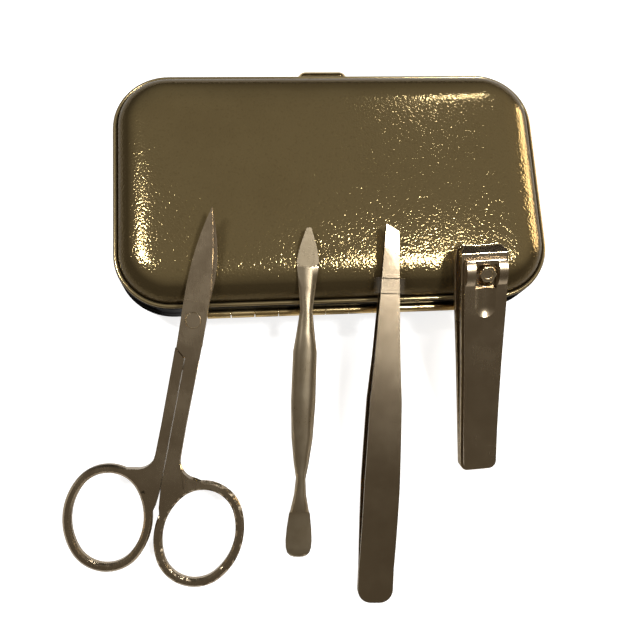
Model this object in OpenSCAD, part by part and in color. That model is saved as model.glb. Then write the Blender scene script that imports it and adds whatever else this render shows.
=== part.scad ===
// Manicure set: a hard case with a press clasp, and four tools leaning on its lid.
// Millimetres, +Z up. The origin is the middle of the case's bottom face, on the table.
// +Y points to the clasp, -Y to the hinge and the tools' feet.

/* [Case] */
// Outside width of the closed case, along X
case_w = 115; // [108:1:130]
// Outside depth of the closed case, along Y
case_d = 65; // [62:1:78]
// Corner radius of the frames, seen from above
corner_r = 15; // [13.5:0.5:18]
// Height of the base half, from the table to the seam
base_h = 12.5; // [11.5:0.5:15]
// Height of the lid half, from the seam to the top of its crown
lid_h = 12; // [11.5:0.5:15]
// Rise of the lid's crown above its shoulder
crown_h = 1.3; // [0.4:0.1:1.6]
// How far the rounded edge of each shell reaches inwards
shoulder_w = 9; // [7:0.5:10]
// Wall of the covered shells
shell_wall = 1.2; // [0.9:0.1:1.6]
// Thickness of the lining
lining_t = 0.7; // [0.5:0.1:1]
// Gap between the piping and the rounded edge of the shell
crease_w = 0.7; // [0.4:0.1:1.2]

/* [Frames] */
// Height of each frame above the seam
frame_h = 4.3; // [3.8:0.1:5]
// Wall of the frames
frame_wall = 1.2; // [1:0.1:1.6]
// Thickness of the inner lip that carries the shell
lip_t = 0.8; // [0.7:0.1:1.2]
// Half of the gap between the two frames
seam_gap = 0.05; // [0.03:0.01:0.15]
// Height of the piping on the frame's outer edge
piping_h = 0.9; // [0.6:0.1:1.2]

/* [Hinge] */
// Number of knuckles, an odd number
knuckles = 11; // [7:2:15]
// Distance from one knuckle to the next
knuckle_pitch = 6.2; // [5.5:0.1:6.6]
// Gap between two knuckles
knuckle_gap = 0.2; // [0.1:0.05:0.4]
// Outside radius of the knuckles
knuckle_r = 1.2; // [1:0.05:1.4]
// Radius of the hinge pin
pin_r = 0.5; // [0.4:0.05:0.6]
// Distance of the hinge axis outside the frames
axis_out = 0.6; // [0.5:0.05:0.9]
// Thickness of the hinge leaves
leaf_t = 0.45; // [0.3:0.05:0.5]

/* [Clasp] */
// Width of the push bar
button_w = 14; // [12:0.5:18]
// Radius of the push bar
button_r = 2.3; // [2:0.1:2.8]
// Gap between the push bar and the frame, at rest
button_gap = 1.3; // [1.2:0.1:1.8]
// Distance between the two stems of the push bar
stem_gap = 6.6; // [6.2:0.2:8]
// Radius of the stems
stem_r = 0.8; // [0.6:0.05:0.9]
// Depth of the stems below the seam
stem_drop = 1.9; // [1.8:0.1:2.2]
// Thickness of the catch plate
catch_t = 0.8; // [0.6:0.1:1]

/* [Tool board] */
// Thickness of the board
board_t = 1.2; // [0.8:0.1:1.6]
// Gap between the board and the rise of the lining
board_margin = 0.3; // [0.2:0.1:1]
// Width of the elastic band
band_w = 12; // [8:1:16]
// Thickness of the elastic band
band_t = 0.7; // [0.5:0.1:0.9]
// Rise of the band's loops above the board
loop_h = 3.2; // [2.6:0.1:3.6]

/* [Scissors] */
// Length of the scissors
scissors_l = 95.6; // [90:0.1:98]
// Distance from the lowest point of the rings to the screw
pivot_y = 67.2; // [64:0.2:70]
// Full thickness of the handles
scissors_t = 2.4; // [2:0.1:3]
// Half of the width at the screw
scissors_hw = 3.1; // [2.9:0.1:3.4]
// Gap between the two flat halves, one over the other
blade_gap = 0.1; // [0.06:0.01:0.2]
// Distance from the screw to the notch where the shanks begin
notch_drop = 9.8; // [9:0.1:11]
// Distance from the screw to the shoulder where the blades begin
shoulder_rise = 4.7; // [4.4:0.1:6]
// Thickness of each blade at its tip
tip_t = 0.5; // [0.35:0.05:0.8]
// How far the tips lie to the right of the screw
tip_shift = 0.1; // [0:0.1:1.2]
// How far the lower blade's edge shows beside the upper blade
blade_margin = 1.1; // [0.3:0.1:1.4]
// Depth of the step where the ground part of each blade begins
grind_step = 0.12; // [0.05:0.01:0.2]
// Gap between the two shanks
split_gap = 0.2; // [0.15:0.05:0.4]
// Width of the right shank
shank_right_w = 3.5; // [3.2:0.1:4]
// Width of the left shank
shank_left_w = 2.8; // [2.5:0.1:3.2]
// Radius of the screw's head
screw_head_r = 1.9; // [1.6:0.1:2.1]
// Radius of the screw's shank
screw_r = 1.1; // [0.8:0.1:1.3]
// Half width of a finger ring, to the middle of its band
ring_a = 10.1; // [9.6:0.1:10.6]
// Half height of a finger ring, to the middle of its band
ring_b = 12.7; // [12:0.1:13.4]
// Width of the rings' band
ring_band = 2.2; // [1.8:0.1:2.6]
// Outward tilt of the rings, in degrees
ring_tilt = 6; // [3:1:8]
// Radius of the curve between shank and ring
crotch_r = 4.5; // [3.5:0.1:5.5]

/* [Cuticle pusher] */
// Length of the cuticle pusher
pusher_l = 85.2; // [80:0.2:88]
// Widest width of the pusher's handle
pusher_w = 6.2; // [5.6:0.1:7]
// Thickness of the pusher's handle
pusher_t = 3.2; // [2.6:0.1:3.8]
// Thickness of the pusher's flat ends
pusher_end_t = 1.2; // [0.9:0.1:1.5]
// Width of the spear at the upper end
spear_w = 5.6; // [4.8:0.1:6]
// Width of the blade at the foot
spade_w = 6.8; // [6:0.1:7.4]
// Length of the spear with its neck
spear_l = 15; // [13:0.5:17]
// Length of the blade at the foot
spade_l = 11.4; // [10:0.2:13]

/* [Tweezers] */
// Length of the tweezers
tweezers_l = 97.4; // [92:0.1:99]
// Width of the tweezers' grip
tweezers_w = 9.1; // [8.6:0.1:10]
// Corner radius of the tweezers' foot
heel_r = 3.4; // [2.6:0.1:4]
// Thickness of each arm
arm_t = 0.9; // [0.8:0.05:1.2]
// Length of the weld at the rear
weld_l = 9; // [7:0.5:12]
// Widest bow of each arm away from the middle plane
arm_bow = 2.8; // [2.4:0.1:3.5]
// Gap between the tips, at rest
tip_gap = 0.9; // [0.7:0.1:1.4]
// Width of the slanted tips
tip_w = 3.2; // [2.6:0.1:3.8]
// How much one corner of the slanted tip leads the other
tip_slant = 1.7; // [0.6:0.1:2]
// Length of the bevel on the outside of each tip
bevel_l = 6.6; // [5:0.2:8]
// Turn of the bevel's edge across the tip, in degrees
bevel_turn = 28; // [0:1:35]
// Length of the clear sleeve on the tips
sleeve_l = 4; // [3:0.5:5]
// Inside width of the clear sleeve
sleeve_w = 6.8; // [6.6:0.1:8.4]
// Wall of the clear sleeve
sleeve_wall = 0.35; // [0.25:0.05:0.5]
// Distance of the sleeve's rear end behind the tips
sleeve_back = 17.5; // [15:0.5:19]
// Gap between the clear sleeve and the arms
sleeve_gap = 0.3; // [0.2:0.05:0.4]

/* [Nail clipper] */
// Length of the nail clipper
clipper_l = 61.7; // [58:0.1:64]
// Width of the jaws
jaw_w = 12; // [11.6:0.2:13]
// Width of the blades at the rear
clipper_rear_w = 9.6; // [9:0.1:10.4]
// Thickness of the blades
blade_t = 1.4; // [1.2:0.1:1.7]
// Angle between the two blades, in degrees
blade_spread = 5; // [4:0.1:5.6]
// Gap between the cutting edges, at rest
jaw_open = 1.5; // [1.3:0.1:1.7]
// Radius of the concave cutting edges
jaw_arc_r = 30; // [24:1:40]
// Distance of the post behind the cutting edges
post_back = 6.5; // [6.4:0.1:7.4]
// Length of the slanted front face of each jaw
jaw_face = 1.7; // [1.4:0.1:2.6]
// Width of the cut-off corners of the jaws
jaw_corner = 1.6; // [0.8:0.1:2]
// Radius of the post
post_r = 1.1; // [1:0.1:1.3]
// Radius of the post's six-sided head
post_head_r = 2.1; // [1.8:0.1:2.2]
// Radius of the post's foot, under the lower blade
post_foot_r = 2.3; // [2:0.1:2.6]
// Thickness of the lever
lever_t = 1.1; // [0.9:0.1:1.4]
// Width of the lever at the jaws
lever_w = 11; // [10.4:0.2:11.6]
// Width of the lever at its tail
lever_tail_w = 8.8; // [7:0.2:9.2]
// Distance from the rear of the blades to the lever's tail
lever_rear = 1.2; // [0.8:0.2:4]
// Half of the width of the window round the post
window_hw = 2.7; // [2.5:0.1:2.9]

/* [Tools on the table] */
// Where the scissors' rings rest, along X
scissors_x = -50.2; // [-54:0.2:-47]
// Where the scissors' rings rest, along Y
scissors_y = -99; // [-102:0.5:-96]
// Turn of the scissors seen from above, in degrees
scissors_turn = 11.8; // [9:0.2:14]
// Where the cuticle pusher's foot rests, along X
pusher_x = -12.8; // [-15:0.2:-11]
// Where the cuticle pusher's foot rests, along Y
pusher_y = -95.7; // [-99:0.1:-92]
// Turn of the cuticle pusher seen from above, in degrees
pusher_turn = 3.7; // [1:0.1:6]
// Where the tweezers' foot rests, along X
tweezers_x = 6.4; // [4:0.2:9]
// Where the tweezers' foot rests, along Y
tweezers_y = -108.1; // [-111:0.1:-105]
// Turn of the tweezers seen from above, in degrees
tweezers_turn = 4.3; // [2:0.1:7]
// Where the nail clipper's foot rests, along X
clipper_x = 36.8; // [34:0.2:41]
// Where the nail clipper's foot rests, along Y
clipper_y = -75.1; // [-78:0.1:-74]
// Turn of the nail clipper seen from above, in degrees
clipper_turn = -1.8; // [-3:0.1:2]
// Gap between the tools and the lid that they lean on
rest_gap = 0.3; // [0.2:0.05:0.5]

/* [Fits] */
// Gap round a pin or stem that turns or slides in its hole
run_gap = 0.06; // [0.04:0.01:0.1]
// Gap round a part that only has to clear its neighbour
free_gap = 0.15; // [0.1:0.05:0.25]

/* [Colours] */
// Covered shells and piping
leather_gold = "#6b5a38";
// Piping on the frames
piping_gold = "#8c7a4c";
// Steel of the tools
satin_gold = "#a8916a";
// Polished brass of the hinge and the clasp
polished_gold = "#b59a5c";
// Frames
frame_black = "#101010";
// Lining and elastic band
lining_black = "#1c1a1a";

/* [Hidden] */
$fn = 48;

// Insets from the frames' outer face, and heights from the seam
bond_gap = 0.05;
skirt_s = frame_wall + bond_gap;
lip_w = skirt_s + shell_wall;
skirt_h = frame_h + 0.2;
seat_h = seam_gap + lip_t;
pillow_s = frame_wall + crease_w;
pillow_h = skirt_h + 0.15;
lining_s = lip_w + 0.02;
corner_steps = 8;
shoulder_steps = 7;

hinge_l = knuckles * knuckle_pitch;
leaf_hole_r = knuckle_r + free_gap;
pin_hole_r = pin_r + run_gap;
pin_head_t = 0.5;
pin_head_r = 0.8;

// Clasp, as insets from the frames' outer face
catch_s = lip_w + free_gap;
catch_w = stem_gap - 2 * stem_r - 2 * free_gap - 0.3;
hook_reach = 0.4;
hook_h = 0.6;
catch_drop = 3.2;
latch_s = catch_s + catch_t + hook_reach + 0.1;
latch_t = 1.2;
latch_hw = stem_gap / 2 + 1.9;
latch_top = 1;
latch_h = catch_drop - hook_h - latch_top - 0.2;

// Shapes shared by both halves of the case

// Corner points of a rounded rectangle that lies inset from the frames' outer face
function outline(inset) =
    let(r = corner_r - inset, x = case_w / 2 - corner_r, y = case_d / 2 - corner_r)
    [for (q = [0:3]) for (i = [0:corner_steps])
        let(a = 90 * (q + i / corner_steps))
        [(q == 0 || q == 3 ? x : -x) + r * cos(a), (q < 2 ? y : -y) + r * sin(a)]];

// The same outline at a height, drawn in towards the middle by the share t
function ring_at(inset, h, t = 0) = [for (p = outline(inset)) [p[0] * (1 - t), p[1] * (1 - t), h]];

// Rings of a pillow from its shoulder down to its skirt; rise is the crown
function pillow_rings(inset, skirt, low, start, high, rise, width) = concat(
    rise > 0 ? [for (t = [0.85, 0.6, 0.3])
        ring_at(inset + width, high + rise * (1 - pow(1 - t, 2)), t)] : [],
    [for (i = [shoulder_steps:-1:0])
        let(a = 90 * i / shoulder_steps)
        ring_at(inset + width * (1 - cos(a)), start + (high - start) * sin(a))],
    [ring_at(skirt, start - 0.15), ring_at(skirt, low)]);

function reversed(list) = [for (i = [len(list) - 1:-1:0]) list[i]];

// A thin shell between two stacks of rings, closed at both middles
module skin(outer, inner, outer_top, inner_top) {
    rings = concat(outer, reversed(inner));
    n = len(rings[0]);
    m = len(rings);
    points = concat([for (r = rings) each r], [[0, 0, outer_top], [0, 0, inner_top]]);
    sides = [for (j = [0:m - 2]) for (i = [0:n - 1])
        let(a = j * n + i, b = j * n + (i + 1) % n) each [[a, b, b + n], [a, b + n, a + n]]];
    first = [for (i = [0:n - 1]) [m * n, (i + 1) % n, i]];
    last = [for (i = [0:n - 1]) [m * n + 1, (m - 1) * n + i, (m - 1) * n + (i + 1) % n]];
    polyhedron(points, concat(sides, first, last), convexity = 6);
}

// Covered shell of one half: height from the seam, and the crown's rise
module half_shell(height, rise) {
    top = height - rise;
    skin(
        pillow_rings(pillow_s, skirt_s, seat_h, pillow_h, top, rise, shoulder_w),
        pillow_rings(pillow_s + shell_wall, skirt_s + shell_wall, seat_h, pillow_h - 0.5,
            top - shell_wall, rise, shoulder_w - 0.3),
        height, height - shell_wall);
}

// Lining of one half, a thin skin inside the shell
module half_lining(height, rise) {
    top = height - rise - shell_wall - bond_gap;
    inset = pillow_s + shell_wall + bond_gap;
    skin(
        pillow_rings(inset, lining_s, seam_gap + 0.25, pillow_h - 0.55, top, rise, shoulder_w - 0.3),
        pillow_rings(inset + lining_t, lining_s + lining_t, seam_gap + 0.25, pillow_h - 0.9,
            top - lining_t, rise, shoulder_w - 0.5),
        top + rise, top + rise - lining_t);
}

// Sweeps a section round the case: x is the distance outside the frames' face, y the height
module round_the_case() {
    long_x = case_w - 2 * corner_r;
    long_y = case_d - 2 * corner_r;
    for (q = [0:3]) {
        cx = (q == 0 || q == 3 ? 1 : -1) * long_x / 2;
        cy = (q < 2 ? 1 : -1) * long_y / 2;
        translate([cx, cy, 0]) rotate([0, 0, 90 * q])
            rotate_extrude(angle = 90) translate([corner_r, 0]) children();
        rotate([0, 0, 90 * q])
            translate([(q % 2 == 0 ? case_w : case_d) / 2, (q % 2 == 0 ? long_y : long_x) / 2, 0])
                rotate([90, 0, 0]) linear_extrude(q % 2 == 0 ? long_y : long_x) children();
    }
}

// Section of a frame: an upright wall with a lip along the seam
module frame_section() {
    edge = 0.35;
    polygon([[-edge, seam_gap], [0, seam_gap + edge], [0, frame_h - edge], [-edge, frame_h],
        [-frame_wall, frame_h], [-frame_wall, seat_h], [-lip_w, seat_h], [-lip_w, seam_gap]]);
}

// Section of the piping on the frame's outer edge
module piping_section() {
    outer = 0.12;
    inner = frame_wall;
    polygon([[-outer, frame_h], [-outer, frame_h + 0.5 * piping_h], [-outer - 0.2, frame_h + 0.85 * piping_h],
        [-(outer + inner) / 2, frame_h + piping_h], [-inner + 0.2, frame_h + 0.85 * piping_h],
        [-inner, frame_h + 0.5 * piping_h], [-inner, frame_h]]);
}

// The hinge axis as a bar of radius r and length l, centred
module along_hinge(r, l) {
    translate([-l / 2, -case_d / 2 - axis_out, 0]) rotate([0, 90, 0]) cylinder(r = r, h = l);
}

module half_frame() {
    difference() {
        round_the_case() frame_section();
        along_hinge(leaf_hole_r, hinge_l + 2 * pin_head_t + 0.4);
        translate([-hinge_l / 2 - 0.1, -case_d / 2 - 0.1, -0.1])
            cube([hinge_l + 0.2, lip_w + 0.2, 0.1 + seam_gap + leaf_t]);
    }
}

// Hinge leaf with every second knuckle, starting with the first or the second
module half_leaf(start) {
    difference() {
        union() {
            translate([-hinge_l / 2, -case_d / 2 - axis_out, seam_gap])
                cube([hinge_l, axis_out + lip_w, leaf_t]);
            for (k = [start:2:knuckles - 1]) translate([knuckle_x(k), 0, 0])
                along_hinge(knuckle_r, knuckle_pitch - knuckle_gap);
        }
        for (k = [1 - start:2:knuckles - 1]) translate([knuckle_x(k), 0, 0])
            along_hinge(leaf_hole_r, knuckle_pitch + knuckle_gap);
        along_hinge(pin_hole_r, hinge_l + 2);
    }
}

function knuckle_x(k) = (k - (knuckles - 1) / 2) * knuckle_pitch;

module lid_side() {
    translate([0, 0, base_h]) children();
}

module base_side() {
    translate([0, 0, base_h]) mirror([0, 0, 1]) children();
}

// The case

module base_shell() {
    color(leather_gold) base_side() difference() {
        half_shell(base_h, 0);
        for (s = [-1, 1]) translate([s * stem_gap / 2 - stem_r - free_gap, case_d / 2 - lip_w - 0.2, 0])
            cube([2 * stem_r + 2 * free_gap, shell_wall + 0.5, stem_drop + stem_r + free_gap]);
    }
}

module base_frame() {
    color(frame_black) base_side() difference() {
        half_frame();
        for (s = [-1, 1]) translate([s * stem_gap / 2, case_d / 2 + 1, stem_drop])
            rotate([90, 0, 0]) cylinder(r = stem_r + run_gap, h = lip_w + 1);
    }
}

module base_piping() {
    color(piping_gold) base_side() round_the_case() piping_section();
}

module base_lining() {
    color(lining_black) base_side() difference() {
        half_lining(base_h, 0);
        translate([-latch_hw - 0.3, case_d / 2 - latch_s - 0.4, -1])
            cube([2 * latch_hw + 0.6, latch_s - lip_w + 1, catch_drop + 1.3]);
    }
}

module lid_shell() {
    color(leather_gold) lid_side() half_shell(lid_h, crown_h);
}

module lid_frame() {
    color(frame_black) lid_side() half_frame();
}

module lid_piping() {
    color(piping_gold) lid_side() round_the_case() piping_section();
}

module lid_lining() {
    color(lining_black) lid_side() difference() {
        half_lining(lid_h, crown_h);
        translate([-catch_w / 2 - 0.3, case_d / 2 - catch_s - catch_t - 0.4, -1])
            cube([catch_w + 0.6, catch_t + 1.2, frame_h + 0.8]);
    }
}

module hinge_leaf_base() {
    color(polished_gold) base_side() half_leaf(0);
}

module hinge_leaf_lid() {
    color(polished_gold) lid_side() half_leaf(1);
}

module hinge_pin() {
    color(polished_gold) lid_side() {
        along_hinge(pin_r, hinge_l + pin_head_t);
        for (s = [-1, 1]) translate([s * (hinge_l + pin_head_t) / 2, 0, 0])
            along_hinge(pin_head_r, pin_head_t);
    }
}

// The clasp

module half_disc(r) {
    intersection() {
        circle(r = r);
        translate([0, -r]) square([r, 2 * r]);
    }
}

// Push bar with two stems that run through the base frame
module clasp_button() {
    back = case_d / 2 + button_gap;
    bar_l = button_w - 2 * button_r;
    color(polished_gold) translate([0, back, base_h]) {
        translate([-bar_l / 2, 0, 0]) rotate([90, 0, 90]) linear_extrude(bar_l) half_disc(button_r);
        for (s = [0, 1]) translate([(0.5 - s) * bar_l, 0, 0]) rotate([0, 0, 90 * s])
            rotate_extrude(angle = 90) half_disc(button_r);
        for (s = [-1, 1]) translate([s * stem_gap / 2, 1, -stem_drop])
            rotate([90, 0, 0]) cylinder(r = stem_r, h = 1 + button_gap + latch_s);
    }
}

// Cross bar on the stems' inner ends; its nose stands over the catch's hook
module clasp_latch() {
    stop_s = lip_w + 0.1;
    color(polished_gold) base_side() {
        translate([-latch_hw, case_d / 2 - latch_s - latch_t, latch_top])
            cube([2 * latch_hw, latch_t, latch_h]);
        for (s = [-1, 1]) translate([s * stem_gap / 2, 0, 0]) difference() {
            translate([s > 0 ? -stem_r - 0.1 : -1.9, case_d / 2 - latch_s, latch_top])
                cube([stem_r + 2, latch_s - stop_s, latch_h]);
            translate([0, case_d / 2, stem_drop]) rotate([90, 0, 0]) cylinder(r = stem_r + 0.02, h = latch_s);
        }
    }
}

// Return springs round the stems, between the frame and the push bar
module clasp_springs() {
    color("silver") base_side() for (s = [-1, 1]) translate([s * stem_gap / 2, case_d / 2, stem_drop])
        rotate([-90, 0, 0]) difference() {
            cylinder(r = stem_r + 0.5, h = button_gap);
            translate([0, 0, -1]) cylinder(r = stem_r + 0.1, h = button_gap + 2);
        }
}

// Catch plate in the lid, with a hook at its lower end
module clasp_catch() {
    color(polished_gold) translate([-catch_w / 2, case_d / 2 - catch_s - catch_t, base_h - catch_drop]) {
        cube([catch_w, catch_t, catch_drop + frame_h - 0.6]);
        translate([0, -hook_reach, 0]) cube([catch_w, hook_reach + catch_t, hook_h]);
        translate([0, 0, catch_drop + seat_h]) cube([catch_w, catch_t + free_gap, frame_h - 0.6 - seat_h]);
    }
}

// The board and its elastic band

board_z = shell_wall + bond_gap + lining_t;
floor_s = pillow_s + shell_wall + bond_gap + lining_t + shoulder_w - 0.5;
board_w = case_w - 2 * (floor_s + board_margin);
board_d = case_d - 2 * (floor_s + board_margin);
board_r = corner_r - floor_s - board_margin;
loop_widths = [8.5, 6.5, 9, 9.5];
loop_land = (board_d - 0.4 - sum_to(loop_widths, 4)) / 5;

module tool_board() {
    color(lining_black) translate([0, 0, board_z]) linear_extrude(board_t) union() {
        square([board_w - 2 * board_r, board_d], center = true);
        square([board_w, board_d - 2 * board_r], center = true);
        for (x = [-1, 1]) for (y = [-1, 1])
            translate([x * (board_w / 2 - board_r), y * (board_d / 2 - board_r)]) circle(r = board_r);
    }
}

// Radius of the arc over a chord w with the rise h
function arc_r(w, h) = (w * w / 4 + h * h) / (2 * h);

function sum_to(list, n) = n <= 0 ? 0 : list[n - 1] + sum_to(list, n - 1);

// One band across the board, arched over each tool and sewn down between them
module elastic_band() {
    total = sum_to(loop_widths, 4) + 5 * loop_land;
    color(lining_black) translate([(band_w - 16) / 2, -total / 2, board_z + board_t])
        rotate([90, 0, -90]) linear_extrude(band_w) for (i = [0:4]) {
            at = sum_to(loop_widths, i) + i * loop_land;
            translate([-at - loop_land - (i < 4 ? band_t : 0), 0])
                square([loop_land + (i < 4 ? band_t : 0) + (i > 0 ? band_t : 0), band_t]);
            if (i < 4) translate([-at - loop_land - loop_widths[i] / 2, 0]) loop_section(loop_widths[i]);
        }
}

module loop_section(w) {
    outer = arc_r(w, loop_h);
    inner = arc_r(w - 2 * band_t, loop_h - band_t);
    difference() {
        intersection() {
            translate([0, loop_h - outer]) circle(r = outer);
            translate([-w / 2, 0]) square([w, loop_h + 1]);
        }
        translate([0, loop_h - band_t - inner]) circle(r = inner);
    }
}

// How the tools lean on the lid: each turns about its foot until it clears the lid by rest_gap

// Section of the closed lid's front, as inset and height above the table
lid_profile = concat(
    [[frame_wall / 2, base_h + frame_h + piping_h]],
    [for (i = [0:shoulder_steps]) let(a = 90 * i / shoulder_steps)
        [pillow_s + shoulder_w * (1 - cos(a)),
            base_h + pillow_h + (lid_h - crown_h - pillow_h) * sin(a)]],
    [for (t = [0.3, 0.6, 0.85, 1])
        [case_d / 2 - (case_d / 2 - pillow_s - shoulder_w) * (1 - t),
            base_h + lid_h - crown_h * pow(1 - t, 2)]]);

// Lean of a tool with its foot at foot_y, between the distances start and reach along it;
// below is how far its back lies under its base plane there
function lean(foot_y, turn, half_w, below, reach, start = 0, gap = rest_gap) = max(concat([0],
    [for (p = lid_profile)
    let(u = (p[0] - case_d / 2 - foot_y) / cos(turn) - half_w * abs(tan(turn)), r = norm([u, p[1]]))
    if (r > start - 1 && r < reach + 1) atan2(p[1], u) + asin((gap + below) / r)]));

module lean_at(x, y, turn, tilt) {
    translate([x, y, 0]) rotate([0, 0, -turn]) rotate([tilt, 0, 0]) children();
}

// Scissors, lying flat with their rings at the foot and the blades up the Y axis

half_t = (scissors_t - blade_gap) / 2;
blade_y = pivot_y + shoulder_rise;
notch_y = pivot_y - notch_drop;
split_x = -0.6;
handle_tilt = 1.5;
notch_slope = 0.85;
notch_gap = 0.35;
ring_off = ring_a + ring_band / 2 + 0.4;
ring_h = ring_b + ring_band / 2;
handle_l = (notch_y - ring_h - ring_off * sin(handle_tilt)) / cos(handle_tilt);
ring_r = ring_a - 1.1;
side_r = (ring_a * ring_a + pow(ring_b - ring_r, 2) - ring_r * ring_r) / (2 * (ring_a - ring_r));
side_turn = atan2(ring_b - ring_r, side_r - ring_a);

module at_scissors() {
    lean_at(scissors_x, scissors_y, scissors_turn,
        lean(scissors_y, scissors_turn, shank_right_w, 0, scissors_l)) children();
}

// Blade from its shoulder to the tip, u from 0 to 1: a convex back and a nearly straight edge
function blade_back(u) = tip_shift * u * u - scissors_hw * (1 - pow(u, 2.2));
function blade_edge(u) = tip_shift * u * u + scissors_hw * (1 - pow(u, 1.7));

module blade_outline(margin) {
    l = scissors_l - blade_y;
    steps = [for (i = [0:12]) i / 12];
    polygon(concat(
        [for (u = steps) [blade_edge(u) + margin * sin(180 * u), blade_y + l * u]],
        [for (i = [11:-1:0]) let(u = steps[i]) [blade_back(u), blade_y + l * u]]));
}

// Oval ring of four arcs with chamfered edges
module finger_ring() {
    for (s = [0, 180]) rotate([0, 0, s]) {
        translate([ring_a - side_r, 0, 0]) rotate([0, 0, -side_turn])
            rotate_extrude(angle = 2 * side_turn) translate([side_r, 0]) ring_section();
        translate([0, ring_b - ring_r, 0]) rotate([0, 0, side_turn])
            rotate_extrude(angle = 180 - 2 * side_turn) translate([ring_r, 0]) ring_section();
    }
}

module ring_section() {
    w = ring_band / 2;
    e = 0.55;
    polygon([[e - w, 0], [w - e, 0], [w, e], [w, scissors_t - e], [w - e, scissors_t],
        [e - w, scissors_t], [-w, scissors_t - e], [-w, e]]);
}

// Middle of the ring's band from its top to its inner side, turned outwards by the ring's tilt
ring_quarter = [for (p = concat(
        [for (i = [0:5]) let(t = 90 - (90 - side_turn) * i / 5)
            [-ring_r * cos(t), ring_b - ring_r + ring_r * sin(t)]],
        [for (i = [1:4]) let(t = side_turn * (1 - i / 4))
            [side_r - ring_a - side_r * cos(t), side_r * sin(t)]]))
    [ring_off + p[0] * cos(ring_tilt) + p[1] * sin(ring_tilt),
        -handle_l - p[0] * sin(ring_tilt) + p[1] * cos(ring_tilt)]];

// Shank that spreads into its ring; the split lies along x = 0 and the notch at y = 0
module handle(w) {
    g = split_gap / 2;
    top = ring_quarter[0];
    linear_extrude(scissors_t) polygon(concat(
        [[g, -g], [w, notch_slope * w - g], [w - 0.1, -0.4 * handle_l],
            [w, top[1] + ring_band / 2 + crotch_r]],
        [for (t = [15:15:90])
            [w + crotch_r * (1 - cos(t)), top[1] + ring_band / 2 + crotch_r * (1 - sin(t)) - 0.05]],
        ring_quarter,
        [[0.5, 5 - handle_l], [g, 0.22 * handle_l - handle_l]]));
    translate([ring_off, -handle_l, 0]) rotate([0, 0, -ring_tilt]) finger_ring();
}

module at_handle() {
    translate([split_x, notch_y, 0]) rotate([0, 0, -handle_tilt]) children();
}

// Flat half under or over the screw, with a slanted edge where the other half's shank begins
module plate(side) {
    g = split_gap / 2;
    polygon([[-side * scissors_hw, blade_y],
        [-side * scissors_hw, notch_y + notch_slope * (scissors_hw + side * split_x) + notch_gap - g],
        [split_x + side * g, notch_y + notch_gap - g], [split_x + side * g, notch_y - 3],
        [side * (scissors_hw - 0.2), notch_y - 3], [side * scissors_hw, notch_y + 4],
        [side * scissors_hw, blade_y]]);
}

// Slope that thins a blade from its shoulder to the tip
module thinning() {
    slope = atan2(half_t - grind_step - tip_t, scissors_l - blade_y);
    translate([-2 * scissors_hw, blade_y, half_t - grind_step])
        rotate([-slope, 0, 0]) cube([4 * scissors_hw, scissors_l, scissors_t]);
}

module scissors_half_right() {
    color(satin_gold) at_scissors() difference() {
        union() {
            at_handle() handle(shank_right_w);
            translate([0, 0, scissors_t - half_t]) difference() {
                linear_extrude(half_t) union() {
                    blade_outline(0);
                    plate(1);
                }
                thinning();
            }
        }
        translate([0, pivot_y, -1]) cylinder(r = screw_r + 0.02, h = scissors_t + 2);
        translate([0, pivot_y, scissors_t - 0.5]) cylinder(r = screw_head_r + free_gap, h = 1);
    }
}

module scissors_half_left() {
    color(satin_gold) at_scissors() difference() {
        union() {
            at_handle() mirror([1, 0, 0]) handle(shank_left_w);
            translate([0, 0, half_t]) mirror([0, 0, 1]) difference() {
                linear_extrude(half_t) union() {
                    blade_outline(blade_margin);
                    plate(-1);
                }
                thinning();
            }
        }
        translate([0, pivot_y, -1]) cylinder(r = screw_r + run_gap, h = scissors_t + 2);
    }
}

// Flush head on top, and a slot in the end underneath
module scissors_screw() {
    slot_w = 0.5;
    slot_depth = 0.5;
    color(polished_gold) at_scissors() translate([0, pivot_y, 0]) difference() {
        union() {
            translate([0, 0, 0.05]) cylinder(r = screw_r, h = scissors_t - 0.55);
            translate([0, 0, scissors_t - 0.5]) cylinder(r = screw_head_r, h = 0.55);
        }
        translate([-screw_head_r, -slot_w / 2, -1]) cube([2 * screw_head_r, slot_w, 1 + slot_depth]);
    }
}

// Cuticle pusher: a bar of eight-sided sections with a spade at the foot and a spear at the top,
// whose flat face is sunk behind a curved shelf

pusher_mid = pusher_end_t / 2 + 0.2;

// Sections along the bar: distance from the foot, width and thickness
grip_l = pusher_l - spade_l - spear_l;
pusher_sections = concat(
    [for (s = [[0, 0.36, 0.5], [0.03, 0.62, 0.7], [0.1, 0.85, 0.9], [0.22, 0.97, 1], [0.38, 1, 1],
            [0.66, 0.94, 1], [1, 0.8, 1]])
        [s[0] * spade_l, s[1] * spade_w, s[2] * pusher_end_t]],
    [for (s = [[0.014, 0.77, 0.7], [0.087, 0.5, 0.75], [0.16, 0.4, 0.7], [0.23, 0.62, 0.85],
            [0.34, 0.87, 1], [0.5, 1, 1], [0.72, 0.97, 1], [0.81, 0.72, 0.85], [0.9, 0.5, 0.62]])
        [spade_l + s[0] * grip_l, s[1] * pusher_w, s[2] * pusher_t]],
    [for (s = [[1, 0.75, 1.3], [0.67, 0.96, 1.1], [0.58, 1, 1], [0.4, 0.86, 1], [0.26, 0.66, 0.9],
            [0.1, 0.38, 0.7], [0, 0.2, 0.4]])
        [pusher_l - s[0] * spear_l, s[1] * spear_w, s[2] * pusher_end_t]]);

function bar_section(y, w, t) =
    let(x = w / 2, z = t / 2, c = 0.32 * w, d = 0.24 * t)
    [[x, y, d], [x - c, y, z], [c - x, y, z], [-x, y, d],
        [-x, y, -d], [c - x, y, -z], [x - c, y, -z], [x, y, -d]];

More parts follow.
